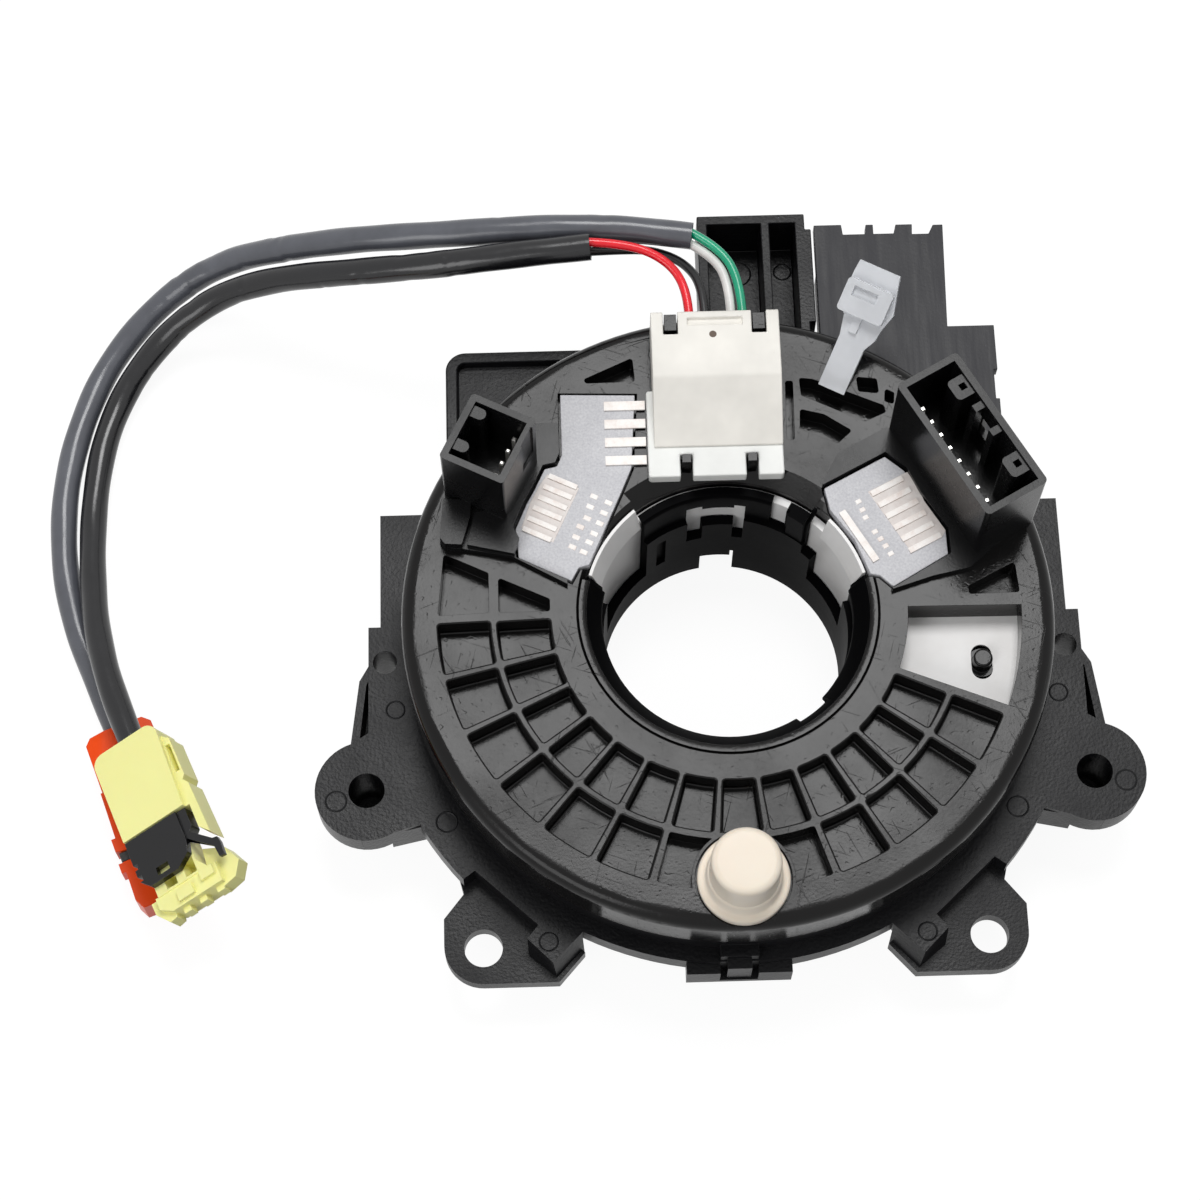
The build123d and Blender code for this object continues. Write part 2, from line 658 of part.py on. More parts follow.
# Inner liner: white tube behind the sleeve, with two tabs that rise in its side windows
with BuildPart() as inner_liner:
    with BuildSketch(Plane.XZ):
        outline(
            [
                (liner_inner_radius, liner_bottom),
                (liner_radius, liner_bottom),
                (liner_radius, liner_top),
                (liner_inner_radius, liner_top),
            ]
        )
    revolve(axis=Axis.Z)
    for start, end in (left_window, right_window):
        with BuildSketch(upright_plane(start + 1)):
            outline(
                [
                    (liner_radius, liner_top - 3),
                    (liner_radius, liner_tab_top),
                    (liner_radius - 0.5, liner_tab_top),
                    (liner_inner_radius - 0.6, liner_top - 1),
                    (liner_inner_radius, liner_top - 3),
                ]
            )
        revolve(axis=Axis.Z, revolution_arc=end - start - 2)
finish(inner_liner, "inner_liner")

# Slide sheet under the disc, with the oval slot of its stake
peg_centre = (38.7, -7.8)
with BuildPart() as slide_sheet:
    with BuildSketch(Plane.XY.offset(sheet_top - sheet_thickness)):
        Circle(drum_inner_radius - side_gap)
        Circle(skirt_radius + running_gap, mode=Mode.SUBTRACT)
        with Locations(peg_centre):
            SlotOverall(5.6, 3.2, rotation=90, mode=Mode.SUBTRACT)
    extrude(amount=sheet_thickness)
finish(slide_sheet, "slide_sheet")

# Sheet stake: headed peg that stands in the slot
with BuildPart() as sheet_stake:
    with BuildSketch(Plane.XY.offset(sheet_top - sheet_thickness - 0.4)):
        with Locations(peg_centre):
            Circle(2.4)
    extrude(amount=0.4)
    with BuildSketch(Plane.XY.offset(sheet_top - sheet_thickness)):
        with Locations(peg_centre):
            Circle(1.5)
    extrude(amount=2.4)
    fillet(sheet_stake.faces().sort_by(Axis.Z)[-1].edges(), 0.4)
finish(sheet_stake, "sheet_stake")

# Terminal films and the bright bars on them
film_bottom = rotor_top - film_recess
film_top = film_bottom + film_thickness
bar_thickness = 0.3
with BuildPart() as left_terminal_film:
    with BuildSketch(Plane.XY.offset(film_bottom)):
        outline(left_film)
    extrude(amount=film_thickness)
finish(left_terminal_film, "left_terminal_film")

with BuildPart() as right_terminal_film:
    with BuildSketch(Plane.XY.offset(film_bottom)):
        outline(right_film)
    extrude(amount=film_thickness)
finish(right_terminal_film, "right_terminal_film")

with BuildPart() as left_bus_bars:
    with BuildSketch(Plane.XY.offset(film_top)):
        for row in range(4):
            with Locations(((lead_block_left - 0.2 - 18.0) / 2, 34.3 - 3.1 * row)):
                Rectangle(18.0 + lead_block_left - 0.2, 1.5)
        for row in range(6):
            with Locations((-24.7 - 0.84 * row, 21.7 - 1.74 * row)):
                Rectangle(4.8, 0.8, rotation=-26)
    extrude(amount=bar_thickness)
finish(left_bus_bars, "left_bus_bars")

with BuildPart() as right_bus_bars:
    with BuildSketch(Plane.XY.offset(film_top)):
        for row in range(6):
            with Locations((25.4 + 1.05 * row, 19.5 - 1.92 * row)):
                Rectangle(5.6, 0.9, rotation=27)
        with Locations((20.6, 11.3)):
            Rectangle(9.6, 1.1, rotation=-60)
    extrude(amount=bar_thickness)
finish(right_bus_bars, "right_bus_bars")

# Sockets: open boxes with keys inside, each on a thin base plate around its film
base_plate_thickness = 1.2
key_top = socket_top - 0.5
left_inside = (left_socket_size[0] - 2 * socket_wall, left_socket_size[1] - 2 * socket_wall)
right_inside = (right_socket_size[0] - 2 * socket_wall, right_socket_size[1] - 2 * socket_wall)
left_base = [(-43.8, 11.9), (-43.0, 10.9), (-40.3, 10.6), (-32.8, 9.2), (-24.4, 4.4), (-24.0, 24.0)]
left_base += [(-24.9, 25.6), (-25.3, 31.4), (-28.5, 31.4), (-37.0, 25.0), (-43.2, 19.0)]
left_foot = [(-43.7, 11.9), (-43.0, 10.9), (-40.4, 10.7), (-39.0, 15.5), (-38.9, 18.0), (-43.2, 18.4)]
left_step = [(-39.6, 10.9), (-32.4, 9.2), (-31.6, 11.8), (-32.4, 13.4), (-33.0, 17.0), (-38.4, 16.2)]
right_base = [(15.4, 19.9), (18.0, 25.0), (25.9, 29.2), (31.0, 26.0), (42.0, 9.8), (37.2, 5.4)]
right_base += [(31.5, 4.2), (25.2, 2.2), (24.6, 5.0), (22.9, 5.2)]
left_level = turned_plane(left_socket_centre, left_socket_angle, rotor_top)
right_level = turned_plane(right_socket_centre, right_socket_angle, rotor_top)

with BuildPart() as left_socket:
    with BuildSketch(left_level) as left_box:
        Rectangle(*left_socket_size)
        fillet(left_box.vertices(), 0.6)
    extrude(amount=socket_top - rotor_top)
    with BuildSketch(Plane.XY.offset(rotor_top)):
        outline(left_base)
    extrude(amount=base_plate_thickness)
    with BuildSketch(Plane.XY.offset(rotor_top)) as foot:
        outline(left_foot)
        fillet(foot.vertices().group_by(Axis.Y)[0], 0.3)
    extrude(amount=socket_floor - rotor_top - 0.7)
    with BuildSketch(Plane.XY.offset(rotor_top)):
        outline(left_step)
    extrude(amount=socket_floor - rotor_top - 1.3)
    with BuildSketch(left_level.offset(socket_floor - rotor_top)):
        Rectangle(*left_inside)
    extrude(amount=socket_top, mode=Mode.SUBTRACT)
    with BuildSketch(left_level.offset(socket_floor - rotor_top)):
        for along in (3.3, -2.6):
            with Locations((-left_inside[0] / 2 + 0.6, along)):
                SlotOverall(3.4, 1.9)
    extrude(amount=key_top - socket_floor)
    with BuildSketch(left_level.offset(socket_top - rotor_top)):
        with Locations((left_socket_size[0] / 2, 2.6)):
            Rectangle(0.6, 3.6)
    extrude(amount=-9, mode=Mode.SUBTRACT)
    with BuildSketch(Plane.XY.offset(rotor_top)):
        outline(left_film)
        offset(amount=film_gap, kind=Kind.INTERSECTION, mode=Mode.REPLACE)
    extrude(amount=base_plate_thickness, mode=Mode.SUBTRACT)
    split(bisect_by=Plane.XY.offset(rotor_top), keep=Keep.TOP)
finish(left_socket, "left_socket")

with BuildPart() as left_contacts:
    with BuildSketch(left_level.offset(socket_floor - rotor_top)):
        with Locations((2.45, 0.5)):
            with GridLocations(1, left_contact_pitch, 1, 4):
                Rectangle(contact_side, contact_side)
    extrude(amount=left_contact_height)
    chamfer(left_contacts.faces().filter_by(Axis.Z).group_by(Axis.Z)[-1].edges(), contact_tip)
finish(left_contacts, "left_contacts")

with BuildPart() as right_socket:
    with BuildSketch(right_level) as right_box:
        Rectangle(*right_socket_size)
        fillet(right_box.vertices(), 0.8)
    extrude(amount=socket_top - rotor_top)
    with BuildSketch(Plane.XY.offset(rotor_top)):
        outline(right_base)
    extrude(amount=base_plate_thickness)
    with BuildSketch(right_level.offset(socket_floor - rotor_top)):
        Rectangle(*right_inside)
    extrude(amount=socket_top, mode=Mode.SUBTRACT)
    with BuildSketch(right_level.offset(socket_floor - rotor_top)) as keys:
        for along in (7.3, -7.5):
            with Locations((right_inside[0] / 2 - 1.4, along)):
                Rectangle(3.2, 3.6)
        fillet(keys.vertices().group_by(Axis.X)[0], 0.8)
        for along in (3.3, -1.3):
            with Locations((right_inside[0] / 2 - 0.8, along)):
                Rectangle(1.9, 1.2)
    extrude(amount=key_top - socket_floor)
    with BuildSketch(right_level.offset(key_top - rotor_top)):
        for along in (7.3, -7.5):
            with Locations((right_inside[0] / 2 - 1.1, along)):
                Rectangle(1.1, 1.1)
    extrude(amount=-6, mode=Mode.SUBTRACT)
    with BuildSketch(right_level.offset(socket_floor - rotor_top + 3)):
        with Locations((right_socket_size[0] / 2, 1.0)):
            Rectangle(3, 3)
    extrude(amount=5, mode=Mode.SUBTRACT)
    with BuildSketch(Plane.XY.offset(rotor_top)):
        outline(right_film)
        offset(amount=film_gap, kind=Kind.INTERSECTION, mode=Mode.REPLACE)
    extrude(amount=base_plate_thickness, mode=Mode.SUBTRACT)
finish(right_socket, "right_socket")

with BuildPart() as right_contacts:
    with BuildSketch(right_level.offset(socket_floor - rotor_top)):
        with Locations((-3.3, -0.8)):
            with GridLocations(1, right_contact_pitch, 1, 8):
                Rectangle(contact_side, contact_side)
    extrude(amount=right_contact_height)
    chamfer(right_contacts.faces().filter_by(Axis.Z).group_by(Axis.Z)[-1].edges(), contact_tip)
finish(right_contacts, "right_contacts")

# Airbag lead block and the white cover over it
lead_block_top = rotor_top + lead_block_height
lead_block_back = 36.0
with BuildPart() as lead_block:
    with BuildSketch(Plane.XY.offset(rotor_top)) as block:
        outline(
            [
                (lead_block_left, lead_block_front),
                (lead_block_left, lead_block_back),
                (cover_right, lead_block_back),
                (cover_right, lead_block_front),
            ]
        )
        fillet(block.vertices(), 0.5)
        for left, right in front_hooks:
            with Locations(((left + right) / 2, lead_block_front + 1.5)):
                Rectangle(right - left + 0.5, 4.5, mode=Mode.SUBTRACT)
    extrude(amount=lead_block_height)
finish(lead_block, "lead_block")

with BuildPart() as lead_cover:
    with BuildSketch(Plane.YZ.offset(cover_left)):
        with BuildLine():
            Polyline(
                (cover_front, lead_block_top),
                (cover_front, lead_block_top + 0.4),
                (cover_crease, cover_top - 0.2),
                (cover_crease + 0.8, cover_top),
                (cover_back - 0.3, cover_top),
                (cover_back, cover_top - 0.4),
                (cover_back, rotor_top),
                (lead_block_back + 0.3, rotor_top),
                (lead_block_back + 0.3, lead_block_top),
                close=True,
            )
        make_face()
    extrude(amount=cover_right - cover_left)
    with BuildSketch(Plane.YZ.offset(cover_left + cover_wall)):
        with BuildLine():
            Polyline(
                (cover_front + 3.2, lead_block_top),
                (cover_crease + 0.6, cover_top - cover_wall),
                (cover_back - cover_wall, cover_top - cover_wall),
                (cover_back - cover_wall, rotor_top),
                (lead_block_back + 0.3, rotor_top),
                (lead_block_back + 0.3, lead_block_top),
                close=True,
            )
        make_face()
    extrude(amount=cover_right - cover_left - 2 * cover_wall, mode=Mode.SUBTRACT)
    with BuildSketch(Plane.XY.offset(rotor_top)):
        for left, right in back_hooks:
            with Locations(((left + right) / 2, cover_back - 1.7)):
                Rectangle(right - left + 0.4, 4.6)
    extrude(amount=rotor_top, mode=Mode.SUBTRACT)
    with BuildSketch(Plane.XY.offset(cover_top)):
        with Locations((-0.4, cover_back - 1.9)):
            Rectangle(8.6, 1.2)
    extrude(amount=-0.6, mode=Mode.SUBTRACT)
finish(lead_cover, "lead_cover")

# Wire clip: strap that leans back over the rotor's rim, with a slotted buckle near its end
clip_lean = math.radians(60)
clip_turn = -28
clip_back = polar(math.sin(clip_lean), clip_turn + 90)
clip_plane = Plane(
    origin=(18.4, 37.5, rotor_top),
    x_dir=(*polar(1, clip_turn), 0),
    z_dir=Vector(*polar(1, clip_turn), 0).cross(Vector(*clip_back, math.cos(clip_lean))),
)
clip_strap_thickness = 1.3
clip_buckle_height = 3.0
strap_outline = [(-2.3, -2.0), (-2.3, 7.4), (-3.0, 10.6), (-4.3, 12.0), (-4.2, 17.5), (-4.0, 19.3)]
strap_outline += [(2.8, 19.3), (3.2, 17.5), (4.3, 13.3), (3.5, 10.6), (3.2, 8.5), (2.2, 6.6), (2.1, -2.0)]
with BuildPart() as wire_clip:
    with BuildSketch(clip_plane):
        outline(strap_outline)
    extrude(amount=clip_strap_thickness / 2, both=True)
    with BuildSketch(clip_plane.offset(-clip_strap_thickness / 2)) as buckle:
        with Locations((-0.5, 13.7)):
            Rectangle(7.6, 5.4)
        fillet(buckle.vertices(), 0.6)
        with Locations((-0.9, 14.6)):
            Rectangle(4.0, 1.6, mode=Mode.SUBTRACT)
    extrude(amount=clip_buckle_height)
    with BuildSketch(clip_plane):
        with Locations((-0.6, 9.8)):
            Rectangle(1.3, 2.8)
    extrude(amount=1.2)
    split(bisect_by=Plane.XY.offset(rotor_top), keep=Keep.TOP)
finish(wire_clip, "wire_clip")

# Stopper pin: holds the rotor centred until the unit is fitted
pin_flange_bottom = rotor_top - pin_recess_depth
pin_step_height = 3.6
with BuildPart() as stopper_pin:
    with BuildSketch(Plane.XZ.offset(-pin_centre[1])):
        with BuildLine():
            Polyline(
                (pin_centre[0], disc_bottom + 0.3),
                (pin_centre[0] + pin_shank_radius - 0.6, disc_bottom + 0.3),
                (pin_centre[0] + pin_shank_radius, disc_bottom + 0.9),
                (pin_centre[0] + pin_shank_radius, pin_flange_bottom),
                (pin_centre[0] + pin_flange_radius, pin_flange_bottom),
                (pin_centre[0] + pin_flange_radius, pin_flange_bottom + pin_flange_thickness - 0.5),
                (pin_centre[0] + pin_flange_radius - 0.5, pin_flange_bottom + pin_flange_thickness),
                (pin_centre[0] + pin_cap_radius + 0.5, pin_flange_bottom + pin_flange_thickness),
                (pin_centre[0] + pin_cap_radius + 0.4, pin_flange_bottom + pin_step_height),
                (pin_centre[0] + pin_cap_radius, pin_flange_bottom + pin_step_height + 0.4),
                (pin_centre[0] + pin_cap_radius - 0.1, pin_top - 0.7),
                (pin_centre[0] + pin_cap_radius - 0.35, pin_top - 0.25),
                (pin_centre[0] + pin_cap_radius - 0.9, pin_top),
                (pin_centre[0], pin_top),
                close=True,
            )
        make_face()
    revolve(axis=Axis((*pin_centre, 0), (0, 0, 1)))
finish(stopper_pin, "stopper_pin")

# Wires from the cover to the sleeves, and the sleeves to the two plugs
wire_routes = {
    "red_wire": [
        (-4.2, 47.2, 33.6),
        (-4.2, 52.2, 33.6),
        (-6.9, 57.0, 34.9),
        (-13.2, 59.9, 36.0),
        (-20.1, 60.4, 35.9),
    ],
    "black_wire": [
        (-1.75, 47.2, 33.4),
        (-1.75, 53.2, 33.2),
        (-4.4, 58.7, 31.4),
        (-9.6, 61.7, 30.3),
        (-15.4, 61.2, 31.4),
        (-20.1, 59.4, 34.5),
    ],
    "white_wire": [(2.4, 47.2, 33.6), (2.4, 53.0, 33.6), (0.3, 58.5, 33.5), (-4.0, 61.4, 33.0)],
    "green_wire": [(4.2, 47.2, 33.6), (4.2, 53.6, 33.6), (1.2, 59.9, 34.0), (-4.0, 62.9, 34.2)],
}
for name, points in wire_routes.items():
    tube(name, points, wire_diameter)

grey_route = [
    (-3.2, 62.2, 33.6),
    (-13.0, 63.9, 33.6),
    (-27.5, 64.7, 33.0),
    (-43.3, 65.0, 31.0),
    (-57.5, 67.0, 26.4),
    (-70.0, 69.4, 19.3),
    (-80.0, 70.9, 12.5),
    (-88.4, 68.6, 7.4),
    (-95.3, 63.6, 4.0),
    (-100.7, 56.5, 2.4),
    (-104.2, 47.7, 2.4),
    (-106.7, 36.5, 2.4),
    (-106.9, 24.5, 2.4),
    (-105.0, 12.8, 2.4),
    (-100.6, 1.3, 2.5),
    (-95.9, -9.8, 2.9),
]
black_route = [
    (-19.4, 59.9, 35.2),
    (-30.5, 59.5, 34.2),
    (-44.5, 59.4, 31.2),
    (-58.0, 61.3, 26.0),
    (-70.3, 64.2, 18.9),
    (-80.1, 65.0, 12.5),
    (-88.1, 62.0, 7.6),
    (-94.3, 56.6, 4.2),
    (-98.8, 49.2, 2.4),
    (-101.2, 40.3, 2.4),
    (-102.0, 29.6, 2.7),
    (-101.5, 18.5, 4.5),
    (-100.0, 7.7, 7.4),
    (-96.8, -3.9, 10.4),
    (-92.15, -15.0, 12.2),
]
tube("grey_sleeve", grey_route, sleeve_diameter)
tube("black_sleeve", black_route, sleeve_diameter)

# Yellow plug: lies tilted on the orange one, nose up and right side up
plug_nose = Vector(0.372, -0.911, 0.175)
plug_across = Vector(0.839, 0.411, 0.357)
plug_normal = plug_nose.cross(plug_across).normalized()
yellow_plane = Plane(origin=(-98.7, -17.2, 12.6), x_dir=plug_nose, z_dir=plug_normal)
yellow_rear = -1.7
yellow_length = 14.0
yellow_thickness = 6.0
inner_top = -1.5
flange_rear = 24.4
flange_front = 27.8
wing_top = -2.8
plug_side_wing = [(0.2, 11.0), (2.0, 13.0), (9.0, 13.1), (9.6, 12.5), (10.6, 13.2), (20.0, 13.5)]
plug_side_wing += [(18.2, 12.0), (yellow_length, 12.0), (yellow_length, 11.0)]
flange_wing = [(20.8, 10.4), (22.6, 13.9), (25.7, 15.3), (27.9, 13.8), (28.4, 11.0), (24.6, 10.0)]
flange_bar = [(flange_rear, 0.8), (flange_rear, 12.0), (flange_front, 12.0), (flange_front, 2.8)]
flange_bar += [(26.4, 0.8)]
flange_foot = [(24.2, 1.2), (24.2, -0.6), (26.2, -0.5), (28.6, 1.3), (28.4, 2.6), (26.8, 3.0)]
with BuildPart() as yellow_plug:
    with BuildSketch(yellow_plane) as shell:
        outline([(yellow_rear, 0), (yellow_rear, 11.9), (yellow_length, 11.3), (yellow_length, 0)])
        fillet(shell.vertices().group_by(Axis.X)[0], 2.0)
    extrude(amount=-yellow_thickness)
    with BuildSketch(yellow_plane.offset(-0.9)):
        outline(plug_side_wing)
    extrude(amount=-4.3)
    with BuildSketch(yellow_plane.offset(-0.9)):
        with Locations((5.4, 12.3)):
            Rectangle(5, 0.8)
    extrude(amount=-1.6, mode=Mode.SUBTRACT)
    # Neck that the lock slides on, with the two contact cavities at its front
    with BuildSketch(yellow_plane.offset(inner_top)):
        outline([(13.8, 1.4), (13.8, 9.3), (22.4, 9.3), (flange_rear + 0.2, 10.8), (flange_rear + 0.2, 1.4)])
    extrude(amount=-yellow_thickness - inner_top + 0.3)
    with BuildSketch(yellow_plane.offset(inner_top)):
        for across in (4.3, 7.9):
            with Locations((22.9, across)):
                Rectangle(2.6, 2.0)
    extrude(amount=-3.2, mode=Mode.SUBTRACT)
    # Front flange: cross bar, foot and wing, with raised pads and teeth
    with BuildSketch(yellow_plane.offset(inner_top - 0.2)):
        outline(flange_bar)
    extrude(amount=-4.4)
    with BuildSketch(yellow_plane.offset(wing_top)):
        outline(flange_wing)
        outline(flange_foot)
    extrude(amount=-2.8)
    with BuildSketch(yellow_plane.offset(inner_top - 0.4)):
        with Locations((26.4, 6.0)):
            Rectangle(1.8, 2.8)
        with Locations((25.5, 10.3)):
            Rectangle(1.6, 2.4)
    extrude(amount=0.9)
    with BuildSketch(yellow_plane.offset(wing_top)):
        for across in (4.6, 7.6, 10.8):
            with Locations((flange_front + 0.3, across)):
                Rectangle(1.2, 1.3)
    extrude(amount=-2)
finish(yellow_plug, "yellow_plug")

# Plug lock: black slider over the neck of the yellow plug, with a sprung latch arm
lock_gap = 0.3
lock_start = yellow_length + lock_gap
lock_top_outline = [(lock_start, 0.1), (21.3, 0.1), (23.0, 1.6), (23.0, 6.8), (21.4, 9.2), (19.6, 9.7)]
lock_top_outline += [(lock_start, 9.7)]
latch_outline = [(16.2, 8.4), (21.4, 13.5), (21.6, 14.3), (22.6, 14.5), (24.9, 14.4), (24.8, 13.5)]
latch_outline += [(22.8, 13.3), (18.2, 8.8)]
with BuildPart() as plug_lock:
    with BuildSketch(yellow_plane):
        outline(lock_top_outline)
        with Locations((21.5, 4.5)):
            Rectangle(1.3, 2.2, mode=Mode.SUBTRACT)
        for along in (18.9, 21.0):
            with Locations((along, 0.2)):
                Rectangle(0.9, 1.3, mode=Mode.SUBTRACT)
    extrude(amount=inner_top + 0.15)
    with BuildSketch(yellow_plane.offset(inner_top + 0.2)):
        with Locations(((lock_start + 20.4) / 2, 0.6)):
            Rectangle(20.4 - lock_start, 1.0)
    extrude(amount=-1.8)
    with BuildSketch(yellow_plane.offset(-0.5)):
        outline([(lock_start, 9.6), (lock_start, 11.2), (17.6, 11.2), (19.2, 9.6)])
    extrude(amount=-2.6)
    with BuildSketch(yellow_plane.offset(-0.5)):
        outline(latch_outline)
    extrude(amount=inner_top + 0.65)
finish(plug_lock, "plug_lock")

# Orange plug: lies on the resting plane, its latch ridge props the yellow plug
orange_plane = Plane(origin=(-96.1, -9.3, 0), x_dir=(*polar(1, -69.5), 0), z_dir=(0, 0, 1))
orange_height = 6.0
orange_outline = [(-1.5, -4.6), (-0.5, -5.6), (8.2, -5.6), (8.2, -5.9), (26.6, -6.4), (28.3, -5.6)]
orange_outline += [(28.3, 1.6), (26.0, 5.4), (-0.4, 5.4), (-1.5, 4.2)]
orange_lock_along = 19.2
with BuildPart() as orange_plug:
    with BuildSketch(orange_plane):
        outline(orange_outline)
    extrude(amount=orange_height)
    with BuildSketch(orange_plane.offset(orange_height)):
        with Locations((12.5, 2.6)):
            Rectangle(15, 5.0)
    extrude(amount=8)
    split(bisect_by=yellow_plane.offset(-yellow_thickness), keep=Keep.BOTTOM)
    with BuildSketch(orange_plane.offset(orange_height)):
        with Locations((17.1, -6.3)):
            Rectangle(2.2, 1.0)
        with Locations((21.0, -6.5)):
            Rectangle(1.6, 1.0)
    extrude(amount=-4)
    with BuildSketch(orange_plane.offset(orange_height - 1.4)):
        with Locations((4.8, -5.6)):
            Rectangle(6.8, 1.6)
    extrude(amount=-2.6, mode=Mode.SUBTRACT)
    with BuildSketch(orange_plane.offset(orange_height)):
        with Locations((orange_lock_along, -5.4)):
            Rectangle(1.8, 2.8)
    extrude(amount=-4, mode=Mode.SUBTRACT)
finish(orange_plug, "orange_plug")

# Black bit of the orange plug's own lock, seen in its side
with BuildPart() as orange_plug_lock:
    with BuildSketch(orange_plane.offset(orange_height - 4)):
        with Locations((orange_lock_along, -5.2)):
            Rectangle(1.4, 2.4)
    extrude(amount=3.6)
finish(orange_plug_lock, "orange_plug_lock")
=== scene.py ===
"""Looks of the steering clock spring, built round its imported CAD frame."""

import json
import math
import random

import bmesh
import bpy
from mathutils import Matrix, Vector


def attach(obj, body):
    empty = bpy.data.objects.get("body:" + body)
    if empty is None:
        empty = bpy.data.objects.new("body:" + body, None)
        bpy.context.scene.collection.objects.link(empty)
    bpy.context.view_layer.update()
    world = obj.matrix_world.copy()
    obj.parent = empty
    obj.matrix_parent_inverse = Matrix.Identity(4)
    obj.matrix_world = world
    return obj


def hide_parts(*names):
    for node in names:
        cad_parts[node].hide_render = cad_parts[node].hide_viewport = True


MM = 0.001
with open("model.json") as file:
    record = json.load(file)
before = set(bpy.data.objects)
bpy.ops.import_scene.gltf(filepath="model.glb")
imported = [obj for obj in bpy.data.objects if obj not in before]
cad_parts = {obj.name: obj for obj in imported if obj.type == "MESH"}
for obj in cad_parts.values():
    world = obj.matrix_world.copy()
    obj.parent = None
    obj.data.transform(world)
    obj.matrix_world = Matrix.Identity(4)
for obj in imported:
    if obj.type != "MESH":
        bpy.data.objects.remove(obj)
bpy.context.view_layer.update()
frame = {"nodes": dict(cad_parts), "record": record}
nodes = frame["nodes"]
scene = bpy.context.scene


# Camera: fitted to the photograph's rims, bore and lug holes, with its angles in radians
CAMERA_TURN = -0.0287
CAMERA_RISE = math.radians(68.916)
CAMERA_DISTANCE = 0.450
CAMERA_TARGET = Vector((0, 0, 0.030))
CAMERA_SLIDE = (0.019568, -0.001418)
CAMERA_LENS = 88.57


def add_camera():
    turn, rise = CAMERA_TURN, CAMERA_RISE
    back = Vector((math.sin(turn) * math.cos(rise), -math.cos(turn) * math.cos(rise), math.sin(rise)))
    right = Vector((math.cos(turn), math.sin(turn), 0))
    up = back.cross(right)
    data = bpy.data.cameras.new("camera")
    data.lens = CAMERA_LENS
    data.sensor_width = 36
    data.clip_start = 0.01
    camera = bpy.data.objects.new("camera", data)
    scene.collection.objects.link(camera)
    turned = Matrix((right, up, back)).transposed().to_4x4()
    place = CAMERA_TARGET + back * CAMERA_DISTANCE - right * CAMERA_SLIDE[0] - up * CAMERA_SLIDE[1]
    camera.matrix_world = Matrix.Translation(place) @ turned
    scene.camera = camera


add_camera()
scene.view_settings.view_transform = "Standard"


# Node helpers for materials
class Nodes:
    """Short way to write a material's node tree."""

    def __init__(self, name):
        self.material = bpy.data.materials.new(name)
        self.material.use_nodes = True
        self.tree = self.material.node_tree
        self.shader = self.tree.nodes["Principled BSDF"]
        coords = self.add("ShaderNodeTexCoord")
        self.object = coords.outputs["Object"]

    def add(self, kind, **values):
        node = self.tree.nodes.new(kind)
        for key, value in values.items():
            setattr(node, key, value)
        return node

    def link(self, a, b):
        self.tree.links.new(a, b)

    def stretched(self, scale, turn=0):
        """Object coordinates turned about Z and drawn out, for streaks."""
        node = self.add("ShaderNodeMapping", vector_type="TEXTURE")
        node.inputs["Rotation"].default_value = (0, 0, math.radians(turn))
        node.inputs["Scale"].default_value = tuple(1 / c for c in scale)
        self.link(self.object, node.inputs["Vector"])
        return node.outputs["Vector"]

    def noise(self, scale, detail=3, rough=0.5, vector=None):
        node = self.add("ShaderNodeTexNoise")
        node.inputs["Scale"].default_value = scale
        node.inputs["Detail"].default_value = detail
        node.inputs["Roughness"].default_value = rough
        self.link(vector or self.object, node.inputs["Vector"])
        return node.outputs["Fac"]

    def ramp(self, value, stops):
        node = self.add("ShaderNodeValToRGB")
        ramp = node.color_ramp
        while len(ramp.elements) < len(stops):
            ramp.elements.new(0.5)
        for element, (place, color) in zip(ramp.elements, stops):
            element.position = place
            element.color = (*color, 1) if len(color) == 3 else color
        self.link(value, node.inputs["Fac"])
        return node.outputs["Color"]

    def range(self, value, low, high, start=0.0, end=1.0):
        node = self.add("ShaderNodeMapRange")
        node.inputs["From Min"].default_value = start
        node.inputs["From Max"].default_value = end
        node.inputs["To Min"].default_value = low
        node.inputs["To Max"].default_value = high
        self.link(value, node.inputs["Value"])
        return node.outputs["Result"]

    def math(self, kind, a, b):
        node = self.add("ShaderNodeMath", operation=kind)
        for slot, value in zip(node.inputs, (a, b)):
            if isinstance(value, (int, float)):
                slot.default_value = value
            else:
                self.link(value, slot)
        return node.outputs["Value"]

    def bump(self, height, distance, strength=1.0, normal=None):
        node = self.add("ShaderNodeBump")
        node.inputs["Strength"].default_value = strength
        node.inputs["Distance"].default_value = distance
        self.link(height, node.inputs["Height"])
        if normal is not None:
            self.link(normal, node.inputs["Normal"])
        return node.outputs["Normal"]

    def set(self, **values):
        for key, value in values.items():
            name = key.replace("_", " ")
            slot = self.shader.inputs[name]
            if isinstance(value, bpy.types.NodeSocket):
                self.link(value, slot)
            else:
                slot.default_value = value


def srgb(r, g, b):
    """Colour as read from the photograph, 0 to 255, made linear."""
    return tuple(((c / 255 + 0.055) / 1.055) ** 2.4 if c > 10 else c / 255 / 12.92 for c in (r, g, b))


def shade(color, factor):
    return tuple(min(1, c * factor) for c in color)


# Directions of the scratches in degrees, each with how far its noise is drawn out
SCRATCH_DIRECTIONS = ((22, 22), (75, 27), (118, 20), (160, 30))
SCRATCH_DEPTH = 0.014


def scratch_lines(m):
    """A value of one along thin scratches that come in patches, zero elsewhere."""
    lines = None
    for turn, stretch in SCRATCH_DIRECTIONS:
        streak = m.noise(90, 2, 0.6, m.stretched((1, stretch, 1), turn))
        mark = m.range(streak, 0, 1, 0.68, 0.72)
        lines = mark if lines is None else m.math("MAXIMUM", lines, mark)
    patches = m.range(m.noise(70, 2, 0.5), 0, 1, 0.42, 0.6)
    return m.math("MULTIPLY", lines, patches)


